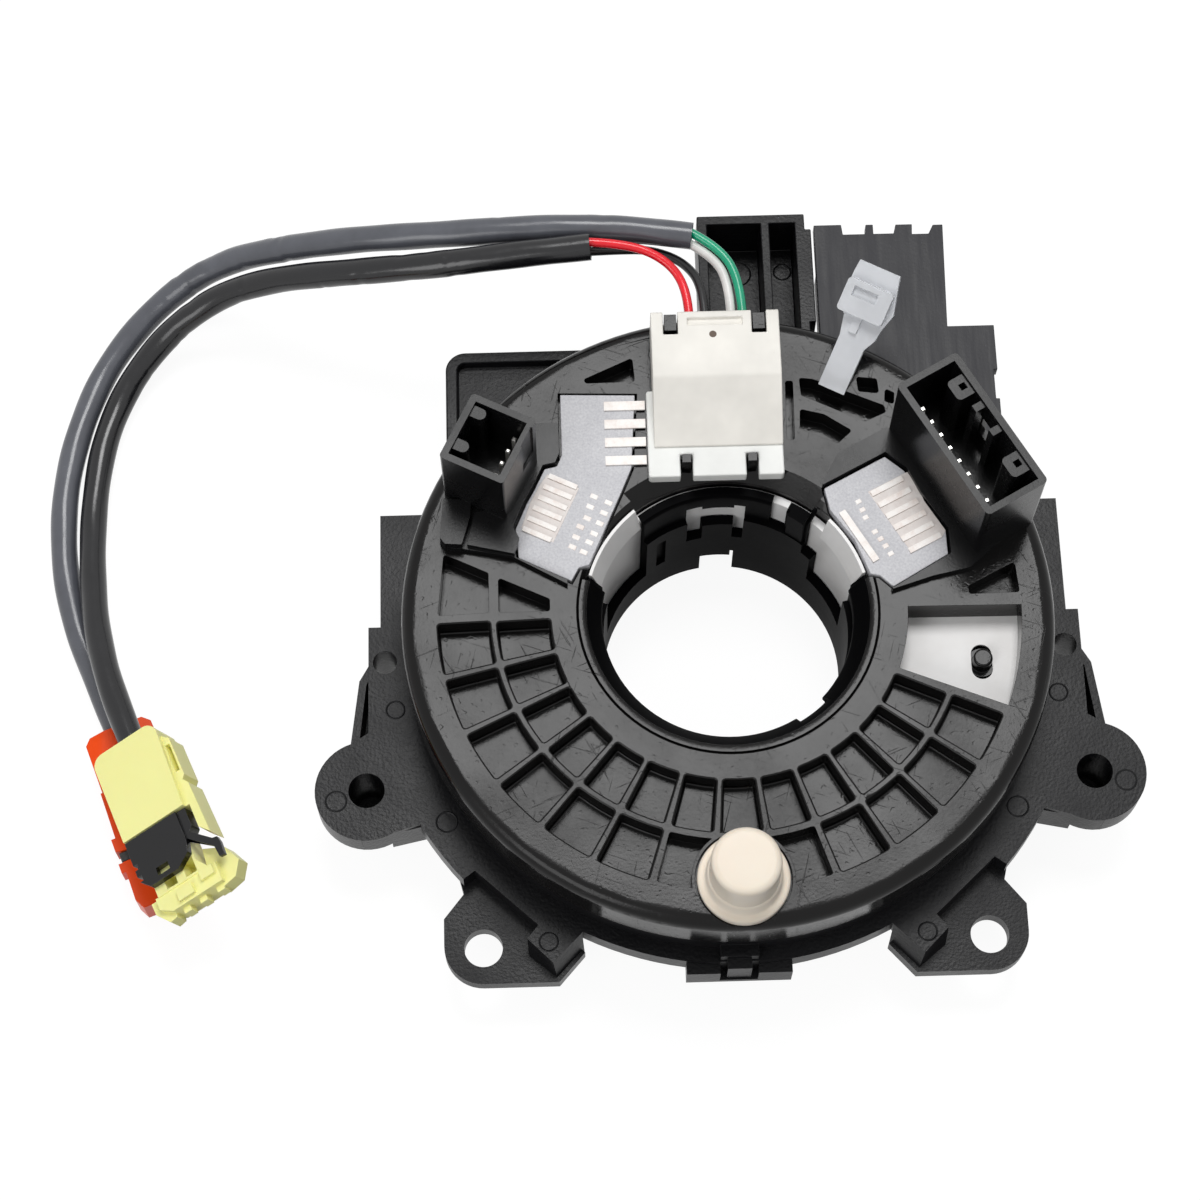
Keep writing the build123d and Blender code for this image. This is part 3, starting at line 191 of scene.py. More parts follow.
def plastic(
    name,
    color,
    rough,
    spread=0.08,
    grain=0.012,
    grain_scale=2600,
    wave=0.0,
    scratches=0.0,
    pits=0.0,
    specular=0.18,
):
    """Moulded plastic: slightly uneven colour and gloss, fine grain, pits and handling scratches.

    Grain, wave and pits are depths in millimetres. Scratches is how much rougher they are.
    """
    m = Nodes(name)
    cloud = m.noise(55, 4, 0.6)
    tint = m.ramp(cloud, [(0.3, shade(color, 0.86)), (0.7, shade(color, 1.12))])
    speck = m.range(m.noise(1400, 2, 0.5), -0.03, 0.03)
    gloss = m.math("ADD", m.range(cloud, rough - spread / 2, rough + spread / 2, 0.3, 0.7), speck)
    normal = m.bump(m.noise(grain_scale, 2, 0.5), grain * MM)
    if wave:
        normal = m.bump(m.noise(90, 1, 0.4), wave * MM, normal=normal)
    if pits:
        holes = m.range(m.noise(1100, 1, 0.3), 1.0, 0.0, 0.66, 0.76)
        normal = m.bump(holes, pits * MM, normal=normal)
    if scratches:
        lines = scratch_lines(m)
        gloss = m.math("ADD", gloss, m.math("MULTIPLY", lines, scratches))
        normal = m.bump(lines, SCRATCH_DEPTH * MM, normal=normal)
    m.set(Base_Color=tint, Roughness=gloss, Normal=normal, Specular_IOR_Level=specular)
    return m.material


def metal(name, color, rough):
    """Dull tin, part mirror and part paint, so that it stays pale in a white studio."""
    m = Nodes(name)
    cloud = m.noise(500, 3, 0.6)
    tint = m.ramp(cloud, [(0.3, shade(color, 0.82)), (0.7, shade(color, 1.05))])
    gloss = m.range(cloud, rough - 0.08, rough + 0.1)
    m.set(Base_Color=tint, Metallic=0.5, Roughness=gloss, Normal=m.bump(cloud, 0.02 * MM))
    return m.material


def film_material(name):
    """Pale speckled film that covers the terminals."""
    m = Nodes(name)
    speck = m.noise(2700, 2, 0.6)
    cloud = m.noise(170, 3, 0.6)
    mix = m.math("ADD", m.math("MULTIPLY", speck, 0.75), m.math("MULTIPLY", cloud, 0.25))
    greys = (srgb(184, 184, 189), srgb(200, 200, 204), srgb(216, 216, 219))
    base = m.ramp(mix, list(zip((0.3, 0.5, 0.7), greys)))
    m.set(Base_Color=base, Roughness=m.range(speck, 0.32, 0.55), Normal=m.bump(speck, 0.03 * MM))
    m.set(Specular_IOR_Level=0.3)
    return m.material


def bar_material(name):
    """Tinned bars seen through the film: bright with a faint warm blush."""
    m = Nodes(name)
    cloud = m.noise(420, 4, 0.7)
    warm_to_white = (srgb(228, 214, 206), srgb(244, 238, 233), srgb(253, 251, 248))
    base = m.ramp(cloud, list(zip((0.32, 0.5, 0.7), warm_to_white)))
    m.set(Base_Color=base, Roughness=m.range(cloud, 0.3, 0.45), Normal=m.bump(cloud, 0.03 * MM))
    return m.material


def blush_material(name):
    """Warm tint of the copper between the bars, under the film."""
    m = Nodes(name)
    cloud = m.noise(600, 3, 0.6)
    base = m.ramp(cloud, [(0.3, srgb(214, 204, 199)), (0.7, srgb(232, 226, 222))])
    grain = m.bump(m.noise(2700, 2, 0.6), 0.02 * MM)
    m.set(Base_Color=base, Roughness=m.range(cloud, 0.35, 0.55), Normal=grain)
    return m.material


def translucent(name, color, rough):
    """Natural nylon: pale, lets some light through."""
    m = Nodes(name)
    cloud = m.noise(120, 3, 0.6)
    tint = m.ramp(cloud, [(0.3, shade(color, 0.92)), (0.7, shade(color, 1.06))])
    gloss = m.range(cloud, rough - 0.05, rough + 0.08)
    m.set(Base_Color=tint, Roughness=gloss, Normal=m.bump(m.noise(800, 2), 0.01 * MM))
    m.set(Transmission_Weight=0.32, IOR=1.4)
    m.set(Subsurface_Weight=0.2, Subsurface_Radius=(0.004, 0.004, 0.004))
    return m.material


def ivory(name, color, rough):
    """Waxy moulded plastic that lets a little light through."""
    m = Nodes(name)
    cloud = m.noise(70, 3, 0.5)
    tint = m.ramp(cloud, [(0.3, shade(color, 0.96)), (0.7, shade(color, 1.02))])
    gloss = m.range(cloud, rough - 0.05, rough + 0.07)
    m.set(Base_Color=tint, Roughness=gloss, Normal=m.bump(m.noise(900, 2), 0.004 * MM))
    m.set(Subsurface_Weight=0.35, Subsurface_Radius=(0.004, 0.0035, 0.003))
    m.set(Specular_IOR_Level=0.18)
    return m.material


def brushed(name, color, rough):
    """Plain plastic rubbed along one direction."""
    m = Nodes(name)
    streak = m.noise(160, 3, 0.6, m.stretched((6, 0.4, 1)))
    cloud = m.noise(40, 3, 0.6)
    mix = m.math("ADD", m.math("MULTIPLY", streak, 0.6), m.math("MULTIPLY", cloud, 0.4))
    tint = m.ramp(mix, [(0.35, shade(color, 0.8)), (0.65, shade(color, 1.25))])
    gloss = m.range(mix, rough - 0.12, rough + 0.1, 0.3, 0.7)
    grain = m.bump(m.noise(2000, 2), 0.015 * MM)
    m.set(Base_Color=tint, Roughness=gloss, Specular_IOR_Level=0.22)
    m.set(Normal=m.bump(streak, 0.015 * MM, normal=grain))
    return m.material


def insulation(name, color, rough=0.28, wrinkle=0.03):
    """Extruded wire skin or sleeve: smooth with faint lengthwise unevenness."""
    m = Nodes(name)
    cloud = m.noise(150, 3, 0.6)
    tint = m.ramp(cloud, [(0.3, shade(color, 0.85)), (0.7, shade(color, 1.12))])
    gloss = m.range(m.noise(600, 3, 0.6), rough - 0.07, rough + 0.1)
    m.set(Base_Color=tint, Roughness=gloss, Normal=m.bump(m.noise(230, 3, 0.55), wrinkle * MM))
    return m.material


MATERIALS = {
    "housing": plastic(
        "housing_plastic",
        srgb(14, 14, 16),
        0.36,
        spread=0.14,
        grain=0.055,
        grain_scale=2000,
        wave=0.05,
        specular=0.19,
    ),
    "rotor": plastic(
        "rotor_plastic",
        srgb(15, 14, 14),
        0.19,
        spread=0.18,
        grain=0.014,
        grain_scale=2000,
        wave=0.11,
        scratches=0.1,
        pits=0.012,
        specular=0.2,
    ),
    "socket": plastic("socket_plastic", srgb(15, 15, 16), 0.26, grain=0.012, wave=0.03, specular=0.2),
    "side_plate": brushed("side_plate_plastic", srgb(38, 38, 42), 0.42),
    "sleeve_plastic": plastic("bore_plastic", srgb(8, 8, 9), 0.5, grain=0.01, specular=0.015),
    "liner": plastic("liner_plastic", srgb(252, 250, 248), 0.34, grain=0.006),
    "film": film_material("terminal_film"),
    "bar_metal": bar_material("tinned_bars"),
    "blush": blush_material("copper_blush"),
    "dot": plastic("brown_dot", srgb(104, 90, 80), 0.5),
    "contact_metal": metal("contact_tin", srgb(246, 244, 238), 0.25),
    "flat_cable": plastic("cable_film", srgb(60, 60, 62), 0.4),
    "lead_block": plastic("lead_block_plastic", srgb(238, 239, 236), 0.33, grain=0.006),
    "lead_cover": plastic("lead_cover_plastic", srgb(241, 238, 231), 0.4, spread=0.06, grain=0.006),
    "clip": translucent("clip_nylon", srgb(240, 242, 246), 0.24),
    "pin": ivory("pin_plastic", srgb(247, 235, 219), 0.3),
    "wire_red": insulation("red_insulation", srgb(240, 14, 36), 0.22),
    "wire_black": insulation("black_insulation", srgb(16, 16, 18)),
    "wire_white": insulation("white_insulation", srgb(232, 232, 229)),
    "wire_green": insulation("green_insulation", srgb(0, 164, 122), 0.22),
    "sleeve_grey": insulation("grey_sleeve_skin", srgb(88, 90, 97), 0.22, 0.05),
    "sleeve_black": insulation("black_sleeve_skin", srgb(21, 21, 24), 0.2, 0.05),
    "plug_yellow": ivory("yellow_plastic", srgb(255, 250, 170), 0.36),
    "plug_orange": plastic("orange_plastic", srgb(255, 80, 20), 0.34, grain=0.006),
    "plug_black": plastic("plug_lock_plastic", srgb(14, 14, 16), 0.24, grain=0.02, wave=0.1, specular=0.4),
}
# The side block belongs to the housing's slot and has a rubbed finish of its own
LOOK_OF = {"rear_side_block": "side_plate"}
SLOT_OF = {row["node"]: row["material_slot"] for row in frame["record"]["subparts"]}
BODY_OF = {node: body for body, names in frame["record"]["behaviour"]["bodies"].items() for node in names}


def dress(obj, look):
    obj.data.materials.clear()
    obj.data.materials.append(MATERIALS[look])


def mesh_of(shape, name):
    """New mesh from an edit shape, which is freed."""
    mesh = bpy.data.meshes.new(name)
    shape.to_mesh(mesh)
    shape.free()
    return mesh


def add_piece(name, mesh, body, slot, replaced=(), look=None):
    """Link a new piece, let it ride on its body and give it its finish."""
    obj = bpy.data.objects.new(name, mesh)
    scene.collection.objects.link(obj)
    dress(obj, look or slot)
    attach(obj, body)
    if replaced:
        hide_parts(*replaced)
    return obj


def apply_modifiers(obj):
    depsgraph = bpy.context.evaluated_depsgraph_get()
    made = bpy.data.meshes.new_from_object(obj.evaluated_get(depsgraph))
    obj.modifiers.clear()
    old = obj.data
    obj.data = made
    if old.users == 0:
        bpy.data.meshes.remove(old)


def smooth(obj, angle):
    obj.data.shade_smooth()
    obj.data.set_sharp_from_angle(angle=math.radians(angle))


MERGE_DISTANCE = 0.004
FLAT_ANGLE = 0.6
ROUND_ANGLE = 35
ROUND_SEGMENTS = 2
SMOOTH_ANGLE = 50
NARROW_SHARE = 0.15


def rounded_copy(node, width, is_wide=None):
    """The CAD piece again with its sharp edges rounded, in place of the plain solid.

    Where is_wide is given, only the edges it picks get the whole width, the rest a share.
    """
    mesh = nodes[node].data.copy()
    mesh.name = node + "_rounded"
    shape = bmesh.new()
    shape.from_mesh(mesh)
    bmesh.ops.remove_doubles(shape, verts=shape.verts, dist=MERGE_DISTANCE * MM)
    bmesh.ops.dissolve_limit(
        shape,
        angle_limit=math.radians(FLAT_ANGLE),
        verts=shape.verts,
        edges=shape.edges,
        delimit={"NORMAL"},
    )
    if is_wide:
        weight = shape.edges.layers.float.new("bevel_weight_edge")
        for edge in shape.edges:
            if edge.calc_face_angle(0) > math.radians(ROUND_ANGLE):
                edge[weight] = 1.0 if is_wide(edge) else NARROW_SHARE
    shape.to_mesh(mesh)
    shape.free()
    obj = add_piece(node + "_shape", mesh, BODY_OF[node], SLOT_OF[node], (node,), LOOK_OF.get(node))
    bevel = obj.modifiers.new("round", "BEVEL")
    bevel.width = width * MM
    bevel.segments = ROUND_SEGMENTS
    if is_wide:
        bevel.limit_method = "WEIGHT"
        bevel.use_clamp_overlap = False
        bevel.loop_slide = False
    else:
        bevel.limit_method = "ANGLE"
        bevel.angle_limit = math.radians(ROUND_ANGLE)
    apply_modifiers(obj)
    smooth(obj, SMOOTH_ANGLE)
    level = obj.modifiers.new("level", "WEIGHTED_NORMAL")
    level.keep_sharp = True
    level.weight = 100
    apply_modifiers(obj)
    return obj


for name, node in nodes.items():
    dress(node, SLOT_OF[name])


# Wires and sleeves: the same route points as the source, in millimetres
ROUTES = {
    "red_wire": [
        (-4.2, 47.2, 33.6),
        (-4.2, 52.2, 33.6),
        (-6.9, 57.0, 34.9),
        (-13.2, 59.9, 36.0),
        (-20.1, 60.4, 35.9),
    ],
    "black_wire": [
        (-1.75, 47.2, 33.4),
        (-1.75, 53.2, 33.2),
        (-4.4, 58.7, 31.4),
        (-9.6, 61.7, 30.3),
        (-15.4, 61.2, 31.4),
        (-20.1, 59.4, 34.5),
    ],
    "white_wire": [(2.4, 47.2, 33.6), (2.4, 53.0, 33.6), (0.3, 58.5, 33.5), (-4.0, 61.4, 33.0)],
    "green_wire": [(4.2, 47.2, 33.6), (4.2, 53.6, 33.6), (1.2, 59.9, 34.0), (-4.0, 62.9, 34.2)],
    "grey_sleeve": [
        (-3.2, 62.2, 33.6),
        (-13.0, 63.9, 33.6),
        (-27.5, 64.7, 33.0),
        (-43.3, 65.0, 31.0),
        (-57.5, 67.0, 26.4),
        (-70.0, 69.4, 19.3),
        (-80.0, 70.9, 12.5),
        (-88.4, 68.6, 7.4),
        (-95.3, 63.6, 4.0),
        (-100.7, 56.5, 2.4),
        (-104.2, 47.7, 2.4),
        (-106.7, 36.5, 2.4),
        (-106.9, 24.5, 2.4),
        (-105.0, 12.8, 2.4),
        (-100.6, 1.3, 2.5),
        (-95.9, -9.8, 2.9),
    ],
    "black_sleeve": [
        (-19.4, 59.9, 35.2),
        (-30.5, 59.5, 34.2),
        (-44.5, 59.4, 31.2),
        (-58.0, 61.3, 26.0),
        (-70.3, 64.2, 18.9),
        (-80.1, 65.0, 12.5),
        (-88.1, 62.0, 7.6),
        (-94.3, 56.6, 4.2),
        (-98.8, 49.2, 2.4),
        (-101.2, 40.3, 2.4),
        (-102.0, 29.6, 2.7),
        (-101.5, 18.5, 4.5),
        (-100.0, 7.7, 7.4),
        (-96.8, -3.9, 10.4),
        (-92.15, -15.0, 12.2),
    ],
}
WIRE_DIAMETER = 1.45
SLEEVE_DIAMETER = 4.3


def spline(name, diameter=0.0):
    """One smooth NURBS line with the route's points as its control points."""
    curve = bpy.data.curves.new(name, "CURVE")
    curve.dimensions = "3D"
    curve.resolution_u = 10
    line = curve.splines.new("NURBS")
    points = ROUTES[name]
    line.points.add(len(points) - 1)
    for point, place in zip(line.points, points):
        point.co = (*(c * MM for c in place), 1)
    line.order_u = 3
    line.use_endpoint_u = True
    if diameter:
        curve.bevel_depth = diameter * MM / 2
        curve.bevel_resolution = 5
        curve.use_fill_caps = True
    return curve


def wire_piece(name, slot):
    """Wire as a round curve along its route."""
    obj = bpy.data.objects.new(name + "_skin", spline(name, WIRE_DIAMETER))
    scene.collection.objects.link(obj)
    obj.data.materials.append(MATERIALS[slot])
    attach(obj, "rotor")
    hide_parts(name)
    return obj


for color_name in ("red", "black", "white", "green"):
    wire = color_name + "_wire"
    wire_piece(wire, "wire_" + color_name)


def line_points(name):
    """Points read from the route's own NURBS spline."""
    holder = bpy.data.objects.new("line", spline(name))
    scene.collection.objects.link(holder)
    bpy.context.view_layer.update()
    made = bpy.data.meshes.new_from_object(holder.evaluated_get(bpy.context.evaluated_depsgraph_get()))
    points = [v.co.copy() for v in made.vertices]
    curve = holder.data
    bpy.data.objects.remove(holder)
    bpy.data.curves.remove(curve)
    bpy.data.meshes.remove(made)
    return points


SHORTEST_LAST_STEP = 0.3


def evenly(points, step):
    """The same line walked at an even step."""
    walked = [points[0]]
    left = step
    for a, b in zip(points, points[1:]):
        gap = (b - a).length
        while gap >= left:
            a = a + (b - a) * (left / gap)
            walked.append(a.copy())
            gap = (b - a).length
            left = step
        left -= gap
    if (walked[-1] - points[-1]).length > step * SHORTEST_LAST_STEP:
        walked.append(points[-1].copy())
    else:
        walked[-1] = points[-1].copy()
    return walked


def frames_along(points):
    """Steady side and up directions along a line."""
    side = None
    for i, point in enumerate(points):
        ahead = (points[min(i + 1, len(points) - 1)] - points[max(i - 1, 0)]).normalized()
        if side is None:
            side = ahead.cross(Vector((0, 0, 1))).normalized()
        side = (side - ahead * side.dot(ahead)).normalized()
        yield point, ahead, side, side.cross(ahead).normalized()


def join_rings(shape, rings):
    """Faces between neighbouring rings of vertices."""
    count = len(rings[0])
    for a, b in zip(rings, rings[1:]):
        for k in range(count):
            n = (k + 1) % count
            shape.faces.new((a[k], a[n], b[n], b[k]))


SLEEVE_STEP = 0.35
SLEEVE_SIDES = 40
SLEEVE_WALL = 0.4
SLEEVE_SMOOTH_ANGLE = 60
MOUTH_WIDENING = 0.2
MOUTH_DEPTHS = (9.0, 4.5, 1.0, 0.0)

# Creases: how far each reaches in its own widths, where its swell stands and how big that is
CREASE_REACH = 3
SWELL_PLACE = 1.6
SWELL_SHARE = 0.25
# Faint twist along the whole sleeve, fading out at the ends
TWIST_DEPTH = 0.03
TWIST_RATE = 0.55
CALM_END = 5


def drawn_creases(wrinkles, rng):
    """Creases drawn by chance: place along the sleeve, direction round it, depth and width."""
    creases = []
    for start, end, count, depth in wrinkles:
        for _ in range(count):
            place = rng.uniform(start, end)
            where = rng.uniform(0, math.tau)
            deep = depth * rng.uniform(0.5, 1.0)
            creases.append((place, where, deep, rng.uniform(0.5, 1.1)))
    return creases


def creased_radius(a, along, total, creases):
    """Outer radius of a sleeve at an angle and a way along it: dents with a swell past each."""
    r = SLEEVE_DIAMETER / 2
    for place, where, depth, width in creases:
        near = (along - place) / width
        if abs(near) < CREASE_REACH:
            turn = math.cos(a - where)
            if turn > 0:
                r -= depth * math.exp(-near * near) * turn * turn
                r += SWELL_SHARE * depth * math.exp(-((near - SWELL_PLACE) ** 2)) * turn * turn
    fade = min(1, along / CALM_END) * min(1, (total - along) / CALM_END)
    return r + TWIST_DEPTH * math.sin(along * TWIST_RATE + 2 * a) * fade


def sleeve_piece(name, slot, wrinkles, seed):
    """Hollow flexible tube: open mouth, thin wall, and creases where it bends."""
    line = evenly(line_points(name), SLEEVE_STEP * MM)
    total = len(line) * SLEEVE_STEP
    creases = drawn_creases(wrinkles, random.Random(seed))
    shape = bmesh.new()
    rings = []

    def add_ring(place, radius):
        point, _, side, up = place
        rings.append([
            shape.verts.new(point + (side * math.cos(a) + up * math.sin(a)) * (radius(a) * MM))
            for a in (math.tau * k / SLEEVE_SIDES for k in range(SLEEVE_SIDES))
        ])

    walked = list(frames_along(line))
    inner = SLEEVE_DIAMETER / 2 - SLEEVE_WALL
    for depth in MOUTH_DEPTHS:
        add_ring(walked[int(depth / SLEEVE_STEP)], lambda a: inner)
    add_ring(walked[0], lambda a: inner + MOUTH_WIDENING)
    for i, place in enumerate(walked):
        add_ring(place, lambda a, along=i * SLEEVE_STEP: creased_radius(a, along, total, creases))
    join_rings(shape, rings)
    shape.faces.new(list(reversed(rings[0])))
    shape.faces.new(rings[-1])
    bmesh.ops.recalc_face_normals(shape, faces=shape.faces)
    obj = add_piece(name + "_skin", mesh_of(shape, name + "_skin"), "rotor", slot, (name,))
    smooth(obj, SLEEVE_SMOOTH_ANGLE)
    return obj, line


# Stretches with creases: start, end, how many, and how deep in millimetres
GREY_CREASES = [(60, 95, 16, 0.16), (0, 50, 4, 0.06)]
BLACK_CREASES = [(20, 48, 9, 0.12), (60, 90, 10, 0.12)]
grey, grey_line = sleeve_piece("grey_sleeve", "sleeve_grey", GREY_CREASES, 3)
black, black_line = sleeve_piece("black_sleeve", "sleeve_black", BLACK_CREASES, 8)


# Rounded copies of the moulded pieces, with the width of their rounding in millimetres
ROUNDED = {
    "housing_base": 0.25,
    "lower_case": 0.4,
    "cable_drum": 0.25,
    "rear_terminal_box": 0.2,
    "rear_side_block": 0.25,
    "sensor_cover": 0.3,
    "rotor_cover": 0.34,
    "bore_sleeve": 0.2,
    "inner_liner": 0.15,
    "sheet_stake": 0.15,
    "left_terminal_film": 0.15,
    "right_terminal_film": 0.15,
    "left_socket": 0.18,
    "right_socket": 0.18,
    "lead_block": 0.25,
    "lead_cover": 0.25,
    "wire_clip": 0.12,
    "yellow_plug": 0.3,
    "plug_lock": 0.15,
    "orange_plug": 0.35,
}
# The fan of pockets: its ends in degrees, its radii and the height above which its edges lie
POCKET_ANGLES = (180, 337.5)
POCKET_RADII = (26.5, 45.5)
LOWEST_POCKET_EDGE = 22
# The stretch of the outer row that the pin's pad cuts, past the rib between the rows
PIN_ANGLES = (252.8, 288.8)
ROW_RADIUS = 35.85


def on_pocket(edge):
    """Whether an edge belongs to the fan of pockets, away from those that the pin's pad cuts."""
    middle = (edge.verts[0].co + edge.verts[1].co) / (2 * MM)
    radius = math.hypot(middle.x, middle.y)
    angle = math.degrees(math.atan2(middle.y, middle.x)) % 360
    by_pin = PIN_ANGLES[0] < angle < PIN_ANGLES[1] and radius > ROW_RADIUS
    in_fan = POCKET_ANGLES[0] < angle < POCKET_ANGLES[1] and POCKET_RADII[0] < radius < POCKET_RADII[1]
    return in_fan and middle.z > LOWEST_POCKET_EDGE and not by_pin


WIDE_EDGES = {"rotor_cover": on_pocket}
shapes = {name: rounded_copy(name, width, WIDE_EDGES.get(name)) for name, width in ROUNDED.items()}


# Fine details that lie on the solids
def raised(name, outlines, z, height, body, slot, inset=0.08, look=None):
    """Thin plates with sloped edges, from their outlines in millimetres."""
    shape = bmesh.new()
    for points in outlines:
        middle = Vector(sum(c) / len(points) for c in zip(*points))
        low, high = [], []
        for x, y in points:
            low.append(shape.verts.new((x * MM, y * MM, z * MM)))
            inward = (middle - Vector((x, y))).normalized() * inset
            high.append(shape.verts.new(((x + inward.x) * MM, (y + inward.y) * MM, (z + height) * MM)))
        shape.faces.new(high)
        for i in range(len(points)):
            n = (i + 1) % len(points)
            shape.faces.new((low[i], low[n], high[n], high[i]))
    bmesh.ops.recalc_face_normals(shape, faces=shape.faces)
    return add_piece(name, mesh_of(shape, name), body, slot, look=look)


def box_outline(centre, length, width, turn):
    """Corners of a turned rectangle."""
    c, s = math.cos(math.radians(turn)), math.sin(math.radians(turn))
    corners = ((-1, -1), (1, -1), (1, 1), (-1, 1))
    half = [(a * length / 2, b * width / 2) for a, b in corners]
    return [(centre[0] + x * c - y * s, centre[1] + x * s + y * c) for x, y in half]


def circle_points(centre, radius, count):
    """Points of a circle in millimetres."""
    angles = [math.tau * k / count for k in range(count)]
    return [(centre[0] + radius * math.cos(a), centre[1] + radius * math.sin(a)) for a in angles]


MARK_LINE = 0.16
MARK_HEIGHT = 0.07
MARK_SIDES = 40


def ring_marks(name, rows, z, body, slot):
    """Round ejector marks: low rings on a level surface."""
    shape = bmesh.new()
    for x, y, radius in rows:
        rings = []
        for out, up in ((-MARK_LINE, 0), (0, MARK_HEIGHT), (MARK_LINE, 0)):
            rings.append([
                shape.verts.new((px * MM, py * MM, (z + up) * MM))
                for px, py in circle_points((x, y), radius + out, MARK_SIDES)
            ])
        join_rings(shape, rings)
    bmesh.ops.recalc_face_normals(shape, faces=shape.faces)
    mesh = mesh_of(shape, name)
    for polygon in mesh.polygons:
        if polygon.normal.z < 0:
            polygon.flip()
    return add_piece(name, mesh, body, slot)


# Ejector marks: place and radius, on both sides of the ledge and in the rear box
LEDGE_TOP = 15.6
LEDGE_MARKS = [(60.9, -24.4, 1.6), (43.9, -28.2, 1.6), (51.7, -9.8, 1.4), (28.7, -47.5, 1.4)]
BOX_FLOOR = 12.2
BOX_MARKS = [(5.2, 66.2, 2.1), (12.6, 66.4, 1.4)]
both_sides = [(side * x, y, radius) for x, y, radius in LEDGE_MARKS for side in (-1, 1)]
ring_marks("ledge_marks", both_sides, LEDGE_TOP, "housing", "housing")
ring_marks("box_marks", BOX_MARKS, BOX_FLOOR, "housing", "housing")

# Warm tint between the bars and bright spots beside them, on the terminal films
FILM_TOP = 30.3
BLUSH_HEIGHT = 0.06
SPOT_HEIGHT = 0.1
LEFT_BLUSH = [(-27.1, 23.1), (-22.2, 20.6), (-26.4, 11.6), (-31.3, 14.2), (-29.9, 18.3), (-28.3, 21.3)]
RIGHT_BLUSH = [
    (22.4, 18.7), (28.7, 21.9), (30.4, 19.1), (31.0, 17.0), (34.0, 11.9), (33.5, 11.0), (28.5, 8.4),
]
LEFT_SPOTS = [
    (-19.95, 19.1), (-17.75, 18.0), (-20.6, 17.4), (-18.5, 16.3), (-21.1, 15.5), (-19.2, 14.6),
    (-22.2, 14.1), (-20.1, 12.9), (-22.9, 12.4), (-20.9, 11.5), (-23.5, 10.8), (-21.8, 9.9),
]
RIGHT_SPOTS = [
    (20.85, 17.1), (21.4, 15.7), (21.8, 14.4), (23.1, 12.0), (23.9, 10.8), (24.6, 9.6), (25.3, 8.3),
]
for tag, outline in (("left", LEFT_BLUSH), ("right", RIGHT_BLUSH)):
    raised(tag + "_blush", [outline], FILM_TOP, BLUSH_HEIGHT, "rotor", "film", look="blush")
for tag, places, size, turn in (
    ("left", LEFT_SPOTS, (1.25, 0.8), -26),
    ("right", RIGHT_SPOTS, (0.95, 0.75), 27),
):
    spots = [box_outline(place, *size, turn) for place in places]
    raised(tag + "_spots", spots, FILM_TOP, SPOT_HEIGHT, "rotor", "bar_metal")

# Contact tips that catch the light in the right socket
RIGHT_SOCKET = (36.9, 21.2)
RIGHT_TURN = 29.3
CONTACT_TOP = 42.5
CONTACT_COUNT = 8
CONTACT_PITCH = 2.5
ROW_PLACE = (-3.3, -0.8)
TIP_WIDTH = 0.58
TIP_HEIGHT = 1.2
TIP_OVERLAP = 0.2


def tip_outline(row):
    """Square round one contact, from its place in the socket's own directions."""
    across = ROW_PLACE[0]
    along = ROW_PLACE[1] + CONTACT_PITCH * (row - (CONTACT_COUNT - 1) / 2)
    c, s = math.cos(math.radians(RIGHT_TURN)), math.sin(math.radians(RIGHT_TURN))
    place = (RIGHT_SOCKET[0] + across * c - along * s, RIGHT_SOCKET[1] + across * s + along * c)
    return box_outline(place, TIP_WIDTH, TIP_WIDTH, RIGHT_TURN)


tips = [tip_outline(row) for row in range(CONTACT_COUNT)]
raised("contact_tips", tips, CONTACT_TOP - TIP_OVERLAP, TIP_HEIGHT, "rotor", "contact_metal")

TURN_STEP = 4
FEWEST_STEPS = 6
TURNED_SMOOTH_ANGLE = 40


def turned(name, profile, body, slot, centre=(0, 0), arc=(0, 360), ring=True, replaced=()):
    """Profile of radius and height points, turned about an upright line through a centre.

    A ring's profile closes on itself. Without ring its two ends are capped.
    """
    start, end = arc
    full = end - start >= 360
    steps = max(FEWEST_STEPS, round((end - start) / TURN_STEP))
    shape = bmesh.new()
    columns = []
    for k in range(steps if full else steps + 1):
        a = math.radians(start + (end - start) * k / steps)
        c, s = math.cos(a), math.sin(a)
        columns.append([
            shape.verts.new(((centre[0] + r * c) * MM, (centre[1] + r * s) * MM, z * MM))
            for r, z in profile
        ])
    for a, b in zip(columns, columns[1:] + (columns[:1] if full else [])):
        for i in range(len(profile) if ring else len(profile) - 1):
            n = (i + 1) % len(profile)
            shape.faces.new((a[i], b[i], b[n], a[n]))
    if not full:
        shape.faces.new(columns[0])
        shape.faces.new(columns[-1])
    elif not ring:
        shape.faces.new([column[0] for column in columns])
        shape.faces.new([column[-1] for column in columns])
    bmesh.ops.recalc_face_normals(shape, faces=shape.faces)
    obj = add_piece(name, mesh_of(shape, name), body, slot, replaced)
    smooth(obj, TURNED_SMOOTH_ANGLE)


def rounded_corner(radius, top, round_off, steps=6):
    """Profile points of an outer corner rounded off."""
    return [
        (
            radius - round_off + round_off * math.cos(math.pi / 2 * k / steps),
            top - round_off + round_off * math.sin(math.pi / 2 * k / steps),
        )
        for k in range(steps + 1)
    ]


